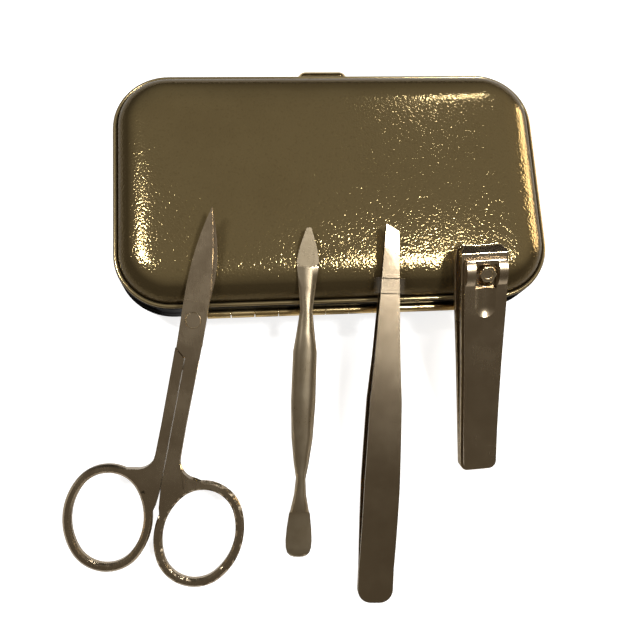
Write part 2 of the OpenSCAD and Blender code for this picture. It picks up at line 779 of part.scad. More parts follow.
module cuticle_pusher() {
    n = 8;
    m = len(pusher_sections);
    points = [for (s = pusher_sections) each bar_section(s[0], s[1], s[2])];
    sides = [for (j = [0:m - 2]) for (i = [0:n - 1])
        let(a = j * n + i, b = j * n + (i + 1) % n) each [[a, b + n, b], [a, a + n, b + n]]];
    ends = [[for (i = [0:n - 1]) i], [for (i = [n - 1:-1:0]) (m - 1) * n + i]];
    shelf_y = pusher_l - 0.66 * spear_l;
    shelf_r = 0.8 * spear_w;
    color(satin_gold) lean_at(pusher_x, pusher_y, pusher_turn,
            lean(pusher_y, pusher_turn, spear_w / 2, 0.55 * pusher_end_t - pusher_mid, pusher_l))
        translate([0, 0, pusher_mid]) difference() {
            polyhedron(points, concat(sides, ends));
            translate([0, shelf_y + shelf_r, 0.1 * pusher_end_t]) {
                cylinder(r = shelf_r, h = pusher_t);
                translate([-spear_w, 0, 0]) cube([2 * spear_w, spear_l, pusher_t]);
            }
        }
}

// Tweezers: two bowed arms welded at the rear, seen from the side in the Y-Z plane

tweezers_mid = arm_t + run_gap / 2 + 0.1;

// The bow peaks nearer to the weld than to the tips, and fades out smoothly towards both
bow_skew = 0.62;
bow_sharpness = 1.6;

// Half of the gap between the arms at the distance y from the rear
function arm_gap(y) = y <= weld_l ? run_gap / 2 : let(v = (y - weld_l) / (tweezers_l - weld_l))
    run_gap / 2 + arm_bow * pow(sin(180 * pow(v, bow_skew)), bow_sharpness) + (tip_gap - run_gap) / 2 * v;

arm_y = concat([0, weld_l], [for (i = [1:13]) weld_l + (tweezers_l - weld_l) * i / 14], [tweezers_l + 1]);
bevel_y = tweezers_l - bevel_l;
bevel_cut = 0.4;

// Side view of the upper arm, above the middle plane
module arm_side() {
    polygon(concat(
        [for (y = arm_y) [y, arm_gap(min(y, tweezers_l))]],
        [for (i = [len(arm_y) - 1:-1:0]) [arm_y[i], arm_gap(min(arm_y[i], tweezers_l)) + arm_t]]));
}

// Outline of an arm from above
module arm_outline() {
    w = tweezers_w / 2;
    for (s = [-1, 1]) translate([s * (w - heel_r), heel_r]) circle(r = heel_r);
    translate([heel_r - w, 0]) square([2 * (w - heel_r), heel_r + 1]);
    taper = [[0.99, 0.32], [0.88, 0.54], [0.72, 0.65], [0.58, 0.78]];
    polygon(concat(
        [[w, heel_r]], [for (t = taper) [t[0] * w, t[1] * tweezers_l]],
        [[0.42 * w, bevel_y], [tip_w / 2, tweezers_l - tip_slant], [-tip_w / 2, tweezers_l],
            [-0.42 * w, bevel_y]],
        [for (t = reversed(taper)) [-t[0] * w, t[1] * tweezers_l]], [[-w, heel_r]]));
}

module arm() {
    slope = atan2(arm_gap(bevel_y) - arm_gap(tweezers_l) + bevel_cut, bevel_l);
    difference() {
        intersection() {
            translate([-tweezers_w, 0, 0]) rotate([90, 0, 90]) linear_extrude(2 * tweezers_w) arm_side();
            translate([0, 0, -1]) linear_extrude(arm_bow + arm_t + 3) arm_outline();
        }
        translate([0, bevel_y, arm_gap(bevel_y) + arm_t]) rotate([0, 0, -bevel_turn]) rotate([-slope, 0, 0])
            translate([-tweezers_w, 0, 0]) cube([2 * tweezers_w, 3 * bevel_l, 3 * arm_t]);
    }
}

sleeve_hh = arm_gap(tweezers_l - sleeve_back) + arm_t + sleeve_gap;
sleeve_y = tweezers_l - sleeve_back;
fold_r = 0.6;
function arm_below(y) = arm_gap(y) + arm_t - tweezers_mid;

// The arms rest on the lid with rest_gap, and the sleeve clears it on its way off the tips
tweezers_lean = max(
    lean(tweezers_y, tweezers_turn, tweezers_w / 2, arm_below(sleeve_y - 4 * sleeve_l),
        sleeve_y - 2 * sleeve_l, sleeve_y - 4 * sleeve_l),
    lean(tweezers_y, tweezers_turn, tweezers_w / 2, arm_below(sleeve_y - 2 * sleeve_l),
        sleeve_y, sleeve_y - 2 * sleeve_l),
    lean(tweezers_y, tweezers_turn, sleeve_w / 2, sleeve_hh + sleeve_wall - tweezers_mid,
        tweezers_l + sleeve_l, sleeve_y, free_gap));

module at_tweezers() {
    lean_at(tweezers_x, tweezers_y, tweezers_turn, tweezers_lean)
        translate([0, 0, tweezers_mid]) children();
}

module tweezers_upper_arm() {
    color(satin_gold) at_tweezers() arm();
}

module tweezers_lower_arm() {
    color(satin_gold) at_tweezers() mirror([0, 0, 1]) arm();
}

// Flattened tube seen from its end: half width w, half height h and corner radius r
module flat_tube(w, h, r) {
    for (x = [-1, 1]) for (y = [-1, 1]) translate([x * (w - r), y * (h - r)]) circle(r = r);
    square([2 * (w - r), 2 * h], center = true);
    square([2 * w, 2 * (h - r)], center = true);
}

module tip_sleeve() {
    color("white") at_tweezers() translate([0, sleeve_y, 0])
        rotate([-90, 0, 0]) linear_extrude(sleeve_l) difference() {
            flat_tube(sleeve_w / 2 + sleeve_wall, sleeve_hh + sleeve_wall, fold_r + sleeve_wall);
            flat_tube(sleeve_w / 2, sleeve_hh, fold_r);
        }
}

// Nail clipper: the lower blade lies on z = 0, and the upper blade rises from the bend

bend_y = 5;
rivet_y = 3.6;
rivet_r = 1.1;
jaw_l = 6;
jaw_drop = (run_gap + (clipper_l - bend_y) * tan(blade_spread) - jaw_open) / 2;
post_y = clipper_l - post_back;
post_drop = run_gap + (post_y - bend_y) * tan(blade_spread) + blade_t + free_gap;
post_foot_t = 0.7;
lever_z = blade_t + free_gap;
lever_bar_l = 1.4;
lever_front = post_y + post_head_r + 0.1 + lever_bar_l;
window_y = post_y - post_head_r - 1.9;
squeeze_gap = 1;
slot_l = 1.6;

module at_clipper() {
    lean_at(clipper_x, clipper_y, clipper_turn,
        lean(clipper_y, clipper_turn, jaw_w / 2, post_drop - post_y * tan(blade_spread) + post_foot_t
            + bend_y * tan(blade_spread) - blade_t + post_foot_r * tan(blade_spread), clipper_l)) children();
}

// Frame of the raised part of the upper blade: z = 0 is its lower face
module at_upper_blade() {
    translate([0, bend_y, blade_t + run_gap]) rotate([blade_spread, 0, 0])
        translate([0, -bend_y, 0]) children();
}

// Outline of a blade from above, with the concave cutting edge
module clipper_outline() {
    rear = clipper_rear_w / 2;
    difference() {
        union() {
            for (s = [-1, 1]) translate([s * (rear - 2), 2]) circle(r = 2);
            translate([2 - rear, 0]) square([2 * rear - 4, 4]);
            right = [[rear, 2], [0.45 * jaw_w, 0.49 * clipper_l], [jaw_w / 2, 0.8 * clipper_l],
                [jaw_w / 2, clipper_l - jaw_corner], [jaw_w / 2 - jaw_corner, clipper_l]];
            polygon(concat(right, [for (p = reversed(right)) [-p[0], p[1]]]));
        }
        translate([0, clipper_l + sqrt(pow(jaw_arc_r, 2) - pow(jaw_w / 2, 2))])
            circle(r = jaw_arc_r, $fn = 96);
    }
}

// Side view of a jaw, for a blade whose inner face is z = 0 and whose outer face is z = blade_t
module jaw_side(start) {
    polygon([[start, 0], [clipper_l - jaw_l, 0], [clipper_l - 1, -jaw_drop], [clipper_l, -jaw_drop],
        [clipper_l, 0.25 - jaw_drop], [clipper_l - jaw_face, blade_t - 0.25], [clipper_l - jaw_l, blade_t],
        [start, blade_t]]);
}

module blade_from_side() {
    translate([-jaw_w, 0, 0]) rotate([90, 0, 90]) linear_extrude(2 * jaw_w) children();
}

module clipper_lower_blade() {
    color(satin_gold) at_clipper() difference() {
        intersection() {
            translate([0, 0, blade_t]) mirror([0, 0, 1]) blade_from_side() jaw_side(0);
            translate([0, 0, -1]) linear_extrude(6) clipper_outline();
        }
        translate([0, rivet_y, -1]) cylinder(r = rivet_r + 0.02, h = 5);
        at_upper_blade() translate([0, post_y, -8]) cylinder(r = post_r + free_gap, h = 7.5);
    }
}

module clipper_upper_blade() {
    color(satin_gold) at_clipper() difference() {
        union() {
            intersection() {
                at_upper_blade() blade_from_side() jaw_side(bend_y);
                linear_extrude(12) clipper_outline();
            }
            translate([0, 0, blade_t + run_gap]) intersection() {
                linear_extrude(blade_t) clipper_outline();
                translate([-jaw_w, -1, 0]) cube([2 * jaw_w, bend_y + 1.02, blade_t]);
            }
        }
        translate([0, rivet_y, 0]) cylinder(r = rivet_r + run_gap, h = 5);
        at_upper_blade() for (back = [0, slot_l]) translate([0, post_y - back, -1])
            cylinder(r = post_r + squeeze_gap, h = 4);
    }
}

module clipper_rivet() {
    color(satin_gold) at_clipper() translate([0, rivet_y, 0.05])
        cylinder(r = rivet_r, h = 2 * blade_t + run_gap - 0.1);
}

// Post with its foot under the lower blade and a six-sided nut-like head in the lever's window
module clipper_post() {
    top = lever_z + lever_t + 1.5;
    color(satin_gold) at_clipper() at_upper_blade() translate([0, post_y, -post_drop]) {
        translate([0, 0, -post_foot_t]) cylinder(r = post_foot_r, h = post_foot_t);
        cylinder(r = post_r, h = post_drop + top - 1.2);
        translate([0, 0, post_drop + top - 1.2]) difference() {
            cylinder(r = post_head_r, h = 1.2, $fn = 6);
            translate([0, 0, 0.8]) cylinder(r = post_head_r - 0.9, h = 1);
        }
    }
}

module lever_outline() {
    w = lever_w / 2;
    tail = lever_tail_w / 2;
    difference() {
        union() {
            for (s = [-1, 1]) translate([s * (tail - 2), lever_rear + 2]) circle(r = 2);
            translate([2 - tail, lever_rear]) square([2 * tail - 4, 4]);
            right = [[tail, lever_rear + 2], [0.88 * w, 0.49 * clipper_l], [w, window_y - 2],
                [w, lever_front - 1], [w - 1, lever_front]];
            polygon(concat(right, [for (p = reversed(right)) [-p[0], p[1]]]));
        }
        translate([-window_hw, window_y]) square([2 * window_hw, lever_front - window_y - lever_bar_l]);
    }
}

// Side view of the lever: a rounded front bar and a tail that lifts off the blade
module lever_side() {
    bar = lever_t / 2;
    polygon([[lever_rear - 1, 0.9], [lever_rear + 10, 0.15], [lever_rear + 16, 0], [lever_front - bar, 0],
        [lever_front - bar, lever_t], [lever_rear + 16, lever_t], [lever_rear + 10, lever_t + 0.15],
        [lever_rear - 1, lever_t + 0.9]]);
    translate([lever_front - bar, bar]) circle(r = bar);
}

// Two raised shoulders beside the window, and a pressed dimple behind it
module clipper_lever() {
    shoulder_r = 5;
    shoulder_h = 1.1;
    shoulder_w = 2.2;
    dimple_depth = 0.8;
    dimple_r = (window_hw * window_hw + dimple_depth * dimple_depth) / (2 * dimple_depth);
    dimple_l = 4.8;
    color(satin_gold) at_clipper() at_upper_blade() translate([0, 0, lever_z]) difference() {
        union() {
            intersection() {
                blade_from_side() lever_side();
                translate([0, 0, -1]) linear_extrude(lever_t + 3) lever_outline();
            }
            for (s = [-1, 1]) intersection() {
                translate([s * (lever_w / 2 + window_hw) / 2 - shoulder_w / 2, lever_front - 3.6,
                        lever_t + shoulder_h - shoulder_r])
                    rotate([0, 90, 0]) cylinder(r = shoulder_r, h = shoulder_w);
                translate([-lever_w, 0, 0.1]) cube([2 * lever_w, lever_front - 0.2, 2 * lever_t + 2]);
            }
        }
        translate([0, window_y - dimple_l, lever_t + dimple_r - dimple_depth]) {
            rotate([-90, 0, 0]) cylinder(r = dimple_r, h = dimple_l + 0.1);
            sphere(r = dimple_r);
        }
    }
}

base_shell();
base_frame();
base_piping();
base_lining();
tool_board();
elastic_band();
lid_shell();
lid_frame();
lid_piping();
lid_lining();
hinge_leaf_base();
hinge_leaf_lid();
hinge_pin();
clasp_button();
clasp_latch();
clasp_springs();
clasp_catch();
scissors_half_right();
scissors_half_left();
scissors_screw();
cuticle_pusher();
tweezers_lower_arm();
tweezers_upper_arm();
tip_sleeve();
clipper_lower_blade();
clipper_upper_blade();
clipper_rivet();
clipper_post();
clipper_lever();
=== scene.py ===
"""Looks of a gold manicure case with four tools leaning on its lid."""

import logging
import math
from contextlib import contextmanager
from dataclasses import dataclass, field
from enum import Enum
from typing import Callable, Iterator

import bmesh
import bpy
from mathutils import Matrix, Vector, noise


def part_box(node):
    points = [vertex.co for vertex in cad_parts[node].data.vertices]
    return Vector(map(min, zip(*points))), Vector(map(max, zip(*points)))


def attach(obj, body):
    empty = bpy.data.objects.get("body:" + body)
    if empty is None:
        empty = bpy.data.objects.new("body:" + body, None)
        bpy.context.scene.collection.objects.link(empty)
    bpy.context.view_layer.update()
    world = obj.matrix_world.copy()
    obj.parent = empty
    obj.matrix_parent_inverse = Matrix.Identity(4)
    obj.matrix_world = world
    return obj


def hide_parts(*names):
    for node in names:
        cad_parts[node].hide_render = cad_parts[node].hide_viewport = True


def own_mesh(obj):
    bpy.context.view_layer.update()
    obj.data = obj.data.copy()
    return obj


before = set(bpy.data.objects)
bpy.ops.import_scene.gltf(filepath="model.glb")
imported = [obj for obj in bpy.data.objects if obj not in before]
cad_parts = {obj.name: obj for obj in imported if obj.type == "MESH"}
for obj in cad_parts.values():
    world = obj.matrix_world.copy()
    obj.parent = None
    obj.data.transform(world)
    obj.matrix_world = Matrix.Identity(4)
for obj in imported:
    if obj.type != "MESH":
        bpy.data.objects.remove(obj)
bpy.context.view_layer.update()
LOG = logging.getLogger("manicure_set")

Piece = bpy.types.Object
Tree = bpy.types.NodeTree
Socket = bpy.types.NodeSocket
Colour = tuple[float, float, float, float]
Triple = tuple[float, float, float]
Pair = tuple[float, float]

MM = 0.001
WHITE = (1.0, 1.0, 1.0, 1.0)

# Cleaning and easing of the CAD's meshes; angles in degrees, FLAT_SIDE a cosine
MERGE = 0.002 * MM
QUAD_TURN, QUAD_SHAPE = 2.0, 40.0
COPLANAR = 0.4
SHARP, CREASE = 28.0, 50.0
NORMAL_WEIGHT = 90
NO_PLANE = (0.0, 0.0, 0.0)
FLAT_SIDE = 0.997
EASED, EASED_SLOT = "eased_edge", 1

# Places of shader nodes in the editor, and sockets of the colour mix
NODE_STEP, NODES_IN_ROW = (170, -230), 12
MIX_SHARE, MIX_FIRST, MIX_SECOND, MIX_RESULT = 0, 6, 7, 2


class Slot(Enum):
    """Material slots of the record."""

    COVER = "covered_shell"
    PIPING = "piping"
    FRAME = "frame"
    LINING = "lining"
    BOARD = "board"
    ELASTIC = "elastic"
    HINGE = "hinge_metal"
    TOOL = "tool_steel"
    SPRING = "spring_steel"
    FILM = "clear_film"


class Half(Enum):
    """A half of the case, and the way its height grows from the seam."""

    BASE = -1
    LID = 1


# Working by hand: selection, edit mode and modifiers


def deselect_all() -> None:
    """Leaves nothing selected, in object mode."""
    if bpy.context.mode != "OBJECT":
        bpy.ops.object.mode_set(mode="OBJECT")
    bpy.ops.object.select_all(action="DESELECT")


def activate(piece: Piece) -> None:
    """Selects one piece alone and makes it the active one."""
    deselect_all()
    piece.select_set(True)
    bpy.context.view_layer.objects.active = piece


@contextmanager
def editing(piece: Piece, select: str = "SELECT") -> Iterator[None]:
    """Opens a piece in edit mode for the length of a with block.

    Args:
        piece: The mesh object to edit.
        select: SELECT to start with everything selected, DESELECT with nothing.
    """
    activate(piece)
    bpy.ops.object.mode_set(mode="EDIT")
    bpy.ops.mesh.select_all(action=select)
    yield
    bpy.ops.object.mode_set(mode="OBJECT")


def pick_faces(piece: Piece, test: Callable[[Vector], bool]) -> None:
    """Selects the faces whose normal passes a test; the piece is in edit mode.

    Args:
        piece: The mesh object in edit mode.
        test: Takes a face's normal.
    """
    mesh = bmesh.from_edit_mesh(piece.data)
    bpy.ops.mesh.select_mode(type="FACE")
    for face in mesh.faces:
        face.select_set(test(face.normal))
    mesh.select_flush_mode()
    bmesh.update_edit_mesh(piece.data)


def pick_edges(piece: Piece, test: Callable[[Vector, Vector], bool]) -> None:
    """Selects the edges whose two ends pass a test; the piece is in edit mode.

    Args:
        piece: The mesh object in edit mode.
        test: Takes the two ends of an edge.
    """
    mesh = bmesh.from_edit_mesh(piece.data)
    bpy.ops.mesh.select_mode(type="EDGE")
    for edge in mesh.edges:
        edge.select_set(test(edge.verts[0].co, edge.verts[1].co))
    mesh.select_flush_mode()
    bmesh.update_edit_mesh(piece.data)


def finish_with(piece: Piece, kind: str, **settings: object) -> None:
    """Adds a modifier to a piece and applies it.

    Args:
        piece: The mesh object.
        kind: The modifier's type, such as BEVEL.
        settings: The modifier's own settings.
    """
    activate(piece)
    bpy.ops.object.modifier_add(type=kind)
    modifier = piece.modifiers[-1]
    for name, value in settings.items():
        setattr(modifier, name, value)
    bpy.ops.object.modifier_apply(modifier=modifier.name)


def smooth(piece: Piece, angle: float) -> None:
    """Shades a piece smooth, up to an angle in degrees between its faces."""
    activate(piece)
    bpy.ops.object.shade_smooth_by_angle(angle=math.radians(angle))


def settle(piece: Piece, name: str) -> Piece:
    """Names a piece and moves its place, turn and scale into its mesh."""
    activate(piece)
    bpy.ops.object.transform_apply(location=True, rotation=True, scale=True)
    piece.name = piece.data.name = name
    return piece


def merged_copy(node: str, name: str) -> Piece:
    """A copy of a CAD node's mesh with its loose triangles merged.

    Args:
        node: The CAD node's name.
        name: The copy's name.

    Returns:
        The copy, at the origin.
    """
    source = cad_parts[node]
    piece = bpy.data.objects.new(name, source.data.copy())
    bpy.context.scene.collection.objects.link(piece)
    piece.data.name = name
    piece.data.materials.clear()
    with editing(piece):
        bpy.ops.mesh.remove_doubles(threshold=MERGE)
        bpy.ops.mesh.tris_convert_to_quads(face_threshold=math.radians(QUAD_TURN),
                                           shape_threshold=math.radians(QUAD_SHAPE))
    return piece


def machined(node: str, name: str, edge: float, angle: float = SHARP,
             plane: Triple = NO_PLANE) -> Piece:
    """A merged copy of a CAD node whose sharp edges are eased and whose curves shade smooth.

    Args:
        node: The CAD node's name.
        name: The piece's name.
        edge: Width of the eased edges in millimetres, 0 to leave them.
        angle: Edges sharper than this many degrees are eased.
        plane: Normal of the flat sides, whose faces are shaded flat.

    Returns:
        The piece, which stands for the node.
    """
    piece = merged_copy(node, name)
    with editing(piece):
        bpy.ops.mesh.dissolve_limited(angle_limit=math.radians(COPLANAR))
    for _ in range(EASED_SLOT + 1):
        piece.data.materials.append(None)
    if edge:
        finish_with(piece, "BEVEL", width=edge * MM, segments=2, limit_method="ANGLE",
                    angle_limit=math.radians(angle), use_clamp_overlap=True,
                    harden_normals=False, material=EASED_SLOT)
    eased = piece.data.attributes.new(EASED, "FLOAT", "FACE")
    for face in piece.data.polygons:
        eased.data[face.index].value = float(face.material_index == EASED_SLOT)
        face.material_index = 0
    smooth(piece, CREASE)
    side = Vector(plane)
    for face in piece.data.polygons:
        face.use_smooth = abs(face.normal.dot(side)) < FLAT_SIDE
    finish_with(piece, "WEIGHTED_NORMAL", mode="FACE_AREA", weight=NORMAL_WEIGHT,
                keep_sharp=True)
    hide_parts(node)
    return piece


# Shader nodes


def add_node(tree: Tree, kind: str, inputs: dict | None = None,
             **settings: object) -> bpy.types.Node:
    """Adds a node to a tree, sets it and links what is given as a socket.

    Args:
        tree: The node tree.
        kind: The node's type name.
        inputs: Values or output sockets by input name or index.
        settings: Attributes of the node.

    Returns:
        The new node.
    """
    node = tree.nodes.new(kind)
    row, column = divmod(len(tree.nodes), NODES_IN_ROW)
    node.location = (NODE_STEP[0] * column, NODE_STEP[1] * row)
    for name, value in settings.items():
        setattr(node, name, value)
    for name, value in (inputs or {}).items():
        if isinstance(value, Socket):
            tree.links.new(value, node.inputs[name])
        else:
            node.inputs[name].default_value = value
    return node


def maths(tree: Tree, operation: str, *values: object) -> Socket:
    """Adds a Math node and returns its output; values are numbers or sockets."""
    node = add_node(tree, "ShaderNodeMath", dict(enumerate(values)), operation=operation)
    return node.outputs[0]


def vector_maths(tree: Tree, operation: str, inputs: dict) -> Socket:
    """Adds a Vector Math node and returns its output."""
    return add_node(tree, "ShaderNodeVectorMath", inputs, operation=operation).outputs[0]


def spread(tree: Tree, value: Socket, low: object, high: object,
           to_low: float = 0.0, to_high: float = 1.0) -> Socket:
    """Maps a value smoothly from one range to another and returns the output."""
    node = add_node(tree, "ShaderNodeMapRange",
                    {"Value": value, "From Min": low, "From Max": high,
                     "To Min": to_low, "To Max": to_high}, interpolation_type="SMOOTHSTEP")
    return node.outputs["Result"]


def mix_colours(tree: Tree, share: object, first: object, second: object) -> Socket:
    """Mixes two colours by a share and returns the output."""
    node = add_node(tree, "ShaderNodeMix",
                    {MIX_SHARE: share, MIX_FIRST: first, MIX_SECOND: second}, data_type="RGBA")
    return node.outputs[MIX_RESULT]


def noise_at(tree: Tree, vector: Socket, size: object, detail: float,
             rough: float = 0.5) -> Socket:
    """Adds a noise whose features measure about size metres and returns its value."""
    scale = maths(tree, "DIVIDE", 1.0, size) if isinstance(size, Socket) else 1.0 / size
    node = add_node(tree, "ShaderNodeTexNoise", {"Vector": vector, "Scale": scale,
                                                 "Detail": detail, "Roughness": rough})
    return node.outputs["Fac"]


def coords_of(tree: Tree) -> bpy.types.NodeOutputs:
    """Adds the texture coordinates and returns all their outputs."""
    return add_node(tree, "ShaderNodeTexCoord").outputs


def part_of(tree: Tree, vector: Socket, axis: str) -> Socket:
    """Takes X, Y or Z out of a vector."""
    return add_node(tree, "ShaderNodeSeparateXYZ", {0: vector}).outputs[axis]


class Effect:
    """A node group with named inputs and outputs, built once and placed in many materials."""

    def __init__(self, name: str, inputs: dict[str, float], outputs: tuple[str, ...]) -> None:
        """Makes the empty group.

        Args:
            name: The group's name.
            inputs: Default values by input name.
            outputs: Names of the outputs, all values.
        """
        self.tree = bpy.data.node_groups.new(name, "ShaderNodeTree")
        for label, value in inputs.items():
            socket = self.tree.interface.new_socket(name=label, in_out="INPUT",
                                                    socket_type="NodeSocketFloat")
            socket.default_value = value
        for label in outputs:
            self.tree.interface.new_socket(name=label, in_out="OUTPUT",
                                           socket_type="NodeSocketFloat")
        self.given = self.tree.nodes.new("NodeGroupInput").outputs
        self.result = self.tree.nodes.new("NodeGroupOutput").inputs
        self.coords = coords_of(self.tree)["Object"]

    def put(self, label: str, value: Socket) -> None:
        """Links a socket to a named output."""
        self.tree.links.new(value, self.result[label])

    def place(self, tree: Tree, **values: float) -> bpy.types.NodeOutputs:
        """Places the group in a material.

        Args:
            tree: The material's node tree.
            values: Input values by input name, in small letters.

        Returns:
            The placed group's outputs.
        """
        node = tree.nodes.new("ShaderNodeGroup")
        node.node_tree = self.tree
        for label, value in values.items():
            node.inputs[label.capitalize()].default_value = value
        return node.outputs


def pebble_effect() -> Effect:
    """Foil grain: short wavering ripples with finer pebbles between them."""
    waver_scale, waver_reach, finer = 420.0, 0.0006, 0.55
    ripple_share, valley = 0.7, (0.3, 0.45)
    effect = Effect("pebble", {"Cell": 0.0004}, ("Height", "Valley"))
    tree, cell = effect.tree, effect.given["Cell"]
    waver = add_node(tree, "ShaderNodeTexNoise",
                     {"Vector": effect.coords, "Scale": waver_scale, "Detail": 1.0})
    centred = vector_maths(tree, "SUBTRACT", {0: waver.outputs["Color"], 1: (0.5, 0.5, 0.5)})
    shift = vector_maths(tree, "SCALE", {0: centred, "Scale": waver_reach})
    moved = vector_maths(tree, "ADD", {0: effect.coords, 1: shift})
    ripples = noise_at(tree, moved, cell, detail=0.6)
    pebbles = noise_at(tree, moved, maths(tree, "MULTIPLY", cell, finer), detail=1.0)
    height = maths(tree, "ADD", maths(tree, "MULTIPLY", ripples, ripple_share),
                   maths(tree, "MULTIPLY", pebbles, 1.0 - ripple_share))
    effect.put("Height", height)
    effect.put("Valley", spread(tree, height, *valley, 1.0, 0.0))
    return effect


def wear_and_painted_edge_light_effect() -> Effect:
    """Worn edges, and the painted highlight and shade of faces marked as eased: the faces of
    the eased edges, broken up by noise.
    """
    patch_size = 0.0016
    effect = Effect("edge_wear_and_painted_light", {"Low": 0.3, "High": 0.6}, ("Mask",))
    tree, given = effect.tree, effect.given
    eased = add_node(tree, "ShaderNodeAttribute", attribute_name=EASED).outputs["Fac"]
    patch = noise_at(tree, effect.coords, patch_size, detail=3.0)
    worn = spread(tree, patch, given["Low"], given["High"])
    effect.put("Mask", maths(tree, "MULTIPLY", eased, worn))
    return effect


def satin_effect() -> Effect:
    """Satin metal grain: very fine tumbled pits, wide patches and faint lengthwise streaks."""
    patch_size, streak_size = 0.009, 0.00028
    effect = Effect("satin_grain", {"Size": 0.00016, "Streak": 0.12},
                    ("Height", "Patch", "Streaks"))
    tree, given, coords = effect.tree, effect.given, effect.coords
    effect.put("Height", noise_at(tree, coords, given["Size"], detail=2.0, rough=0.6))
    effect.put("Patch", noise_at(tree, coords, patch_size, detail=4.0, rough=0.6))
    stretch = add_node(tree, "ShaderNodeCombineXYZ",
                       {"X": 1.0, "Y": given["Streak"], "Z": given["Streak"]})
    along = vector_maths(tree, "MULTIPLY", {0: coords, 1: stretch.outputs[0]})
    effect.put("Streaks", noise_at(tree, along, streak_size, detail=3.0, rough=0.7))
    return effect


def handling_effect() -> Effect:
    """Soft handling marks: large smudges."""
    faint, full = 0.42, 0.68
    effect = Effect("handling", {"Smudge": 0.018}, ("Smudge",))
    tree = effect.tree
    marks = noise_at(tree, effect.coords, effect.given["Smudge"], detail=4.0, rough=0.62)
    effect.put("Smudge", spread(tree, marks, faint, full))
    return effect


PEBBLE = pebble_effect()
WEAR_AND_PAINTED_EDGE_LIGHT = wear_and_painted_edge_light_effect()
SATIN = satin_effect()
HANDLING = handling_effect()


@dataclass(frozen=True)
class Finish:
    """A finish: its name, its slot in the record and its plain values."""

    name: str
    slot: Slot

    def shader(self, **values: object) -> tuple[Tree, bpy.types.Node]:
        """Makes the material with one Principled shader.

        Args:
            values: Socket values, with underscores for the spaces in their names.

        Returns:
            The material's node tree and its shader node.
        """
        material = bpy.data.materials.new(self.name)
        material.use_nodes = True
        node = material.node_tree.nodes["Principled BSDF"]
        for label, value in values.items():
            node.inputs[label.replace("_", " ")].default_value = value
        return material.node_tree, node

    def feed(self, tree: Tree, shader: bpy.types.Node, **sockets: Socket) -> None:
        """Links sockets to the shader, with underscores for the spaces in its names."""
        for label, socket in sockets.items():
            tree.links.new(socket, shader.inputs[label.replace("_", " ")])

    def bump(self, tree: Tree, shader: bpy.types.Node, height: Socket, depth: float) -> None:
        """Feeds a height to the shader's normal; its full range is depth metres."""
        node = add_node(tree, "ShaderNodeBump", {"Height": height, "Distance": depth})
        self.feed(tree, shader, Normal=node.outputs["Normal"])

    def build(self) -> None:
        """Builds the material; each finish has its own."""
        raise NotImplementedError

    def dress(self, piece: Piece) -> None:
        """Gives the finish to a piece."""
        if self.name not in bpy.data.materials:
            self.build()
        piece.data.materials.clear()
        piece.data.materials.append(bpy.data.materials[self.name])


@dataclass(frozen=True)
class PebbledFoil(Finish):
    """Metallic gold foil on synthetic leather, with a low pebbled grain.

    Faces that turn away from level take the darker shoulder tone, which is painted
    shade on the rounded shoulders, and the grain is lower towards the rear.
    """

    deep: Colour = (0.18, 0.13, 0.058, 1.0)
    light: Colour = (0.255, 0.192, 0.09, 1.0)
    # painted shade: the tone of faces that turn away from level, on the shoulders
    shoulder: Colour = (0.1, 0.072, 0.033, 1.0)
    metallic: float = 0.71
    rough: float = 0.1
    smudge_rough: float = 0.05
    smudge_share: float = 0.3
    valley_share: float = 0.4
    painted_shade_rise: Pair = (0.86, 0.975)
    depth: float = 0.00012
    cell: float = 0.0006
    rear: Pair = (0.0, 0.03)
    rear_grain: float = 0.4

    def build(self) -> None:
        """Builds the foil: an almost even gold with darker valleys, faint marks and painted
        shade on the shoulders.
        """
        tree, shader = self.shader(Metallic=self.metallic, Specular_IOR_Level=0.0)
        grain = PEBBLE.place(tree, cell=self.cell)
        marks = HANDLING.place(tree)
        coords = coords_of(tree)
        valleys = maths(tree, "MULTIPLY", grain["Valley"], self.valley_share)
        smudges = maths(tree, "MULTIPLY", marks["Smudge"], self.smudge_share)
        tone = mix_colours(tree, valleys, self.light, self.deep)
        tone = mix_colours(tree, smudges, tone, self.deep)
        # Painted shade: faces that turn away from level take the darker shoulder tone.
        rise = maths(tree, "ABSOLUTE", part_of(tree, coords["Normal"], "Z"))
        turned = spread(tree, rise, *self.painted_shade_rise, 1.0, 0.0)
        duller = maths(tree, "MULTIPLY", marks["Smudge"], self.smudge_rough)
        self.feed(tree, shader, Base_Color=mix_colours(tree, turned, tone, self.shoulder),
                  Roughness=maths(tree, "ADD", self.rough, duller))
        lower = spread(tree, part_of(tree, coords["Object"], "Y"), *self.rear,
                       1.0, self.rear_grain)
        self.bump(tree, shader, maths(tree, "MULTIPLY", grain["Height"], lower), self.depth)


@dataclass(frozen=True)
class GlossEnamel(Finish):
    """Gloss black enamel with a faint orange peel and rubbed edges.

    Its gloss fades where the faces are seen at a grazing angle, so the sides stay black.
    """

    colour: Colour = (0.006, 0.0055, 0.005, 1.0)
    rubbed: Colour = (0.05, 0.04, 0.028, 1.0)
    gloss: float = 0.25
    grazing: Pair = (0.55, 0.8)
    rough: Pair = (0.14, 0.24)
    peel_size: float = 0.0009
    peel_depth: float = 0.000008

    def build(self) -> None:
        """Builds the enamel."""
        tree, shader = self.shader()
        facing = add_node(tree, "ShaderNodeLayerWeight").outputs["Facing"]
        marks = HANDLING.place(tree)
        edges = WEAR_AND_PAINTED_EDGE_LIGHT.place(tree, low=0.55, high=0.8)
        self.feed(tree, shader,
                  Specular_IOR_Level=spread(tree, facing, *self.grazing, self.gloss, 0.0),
                  Base_Color=mix_colours(tree, edges["Mask"], self.colour, self.rubbed),
                  Roughness=spread(tree, marks["Smudge"], 0.0, 1.0, *self.rough))
        peel = noise_at(tree, coords_of(tree)["Object"], self.peel_size, detail=1.0)
        self.bump(tree, shader, peel, self.peel_depth)


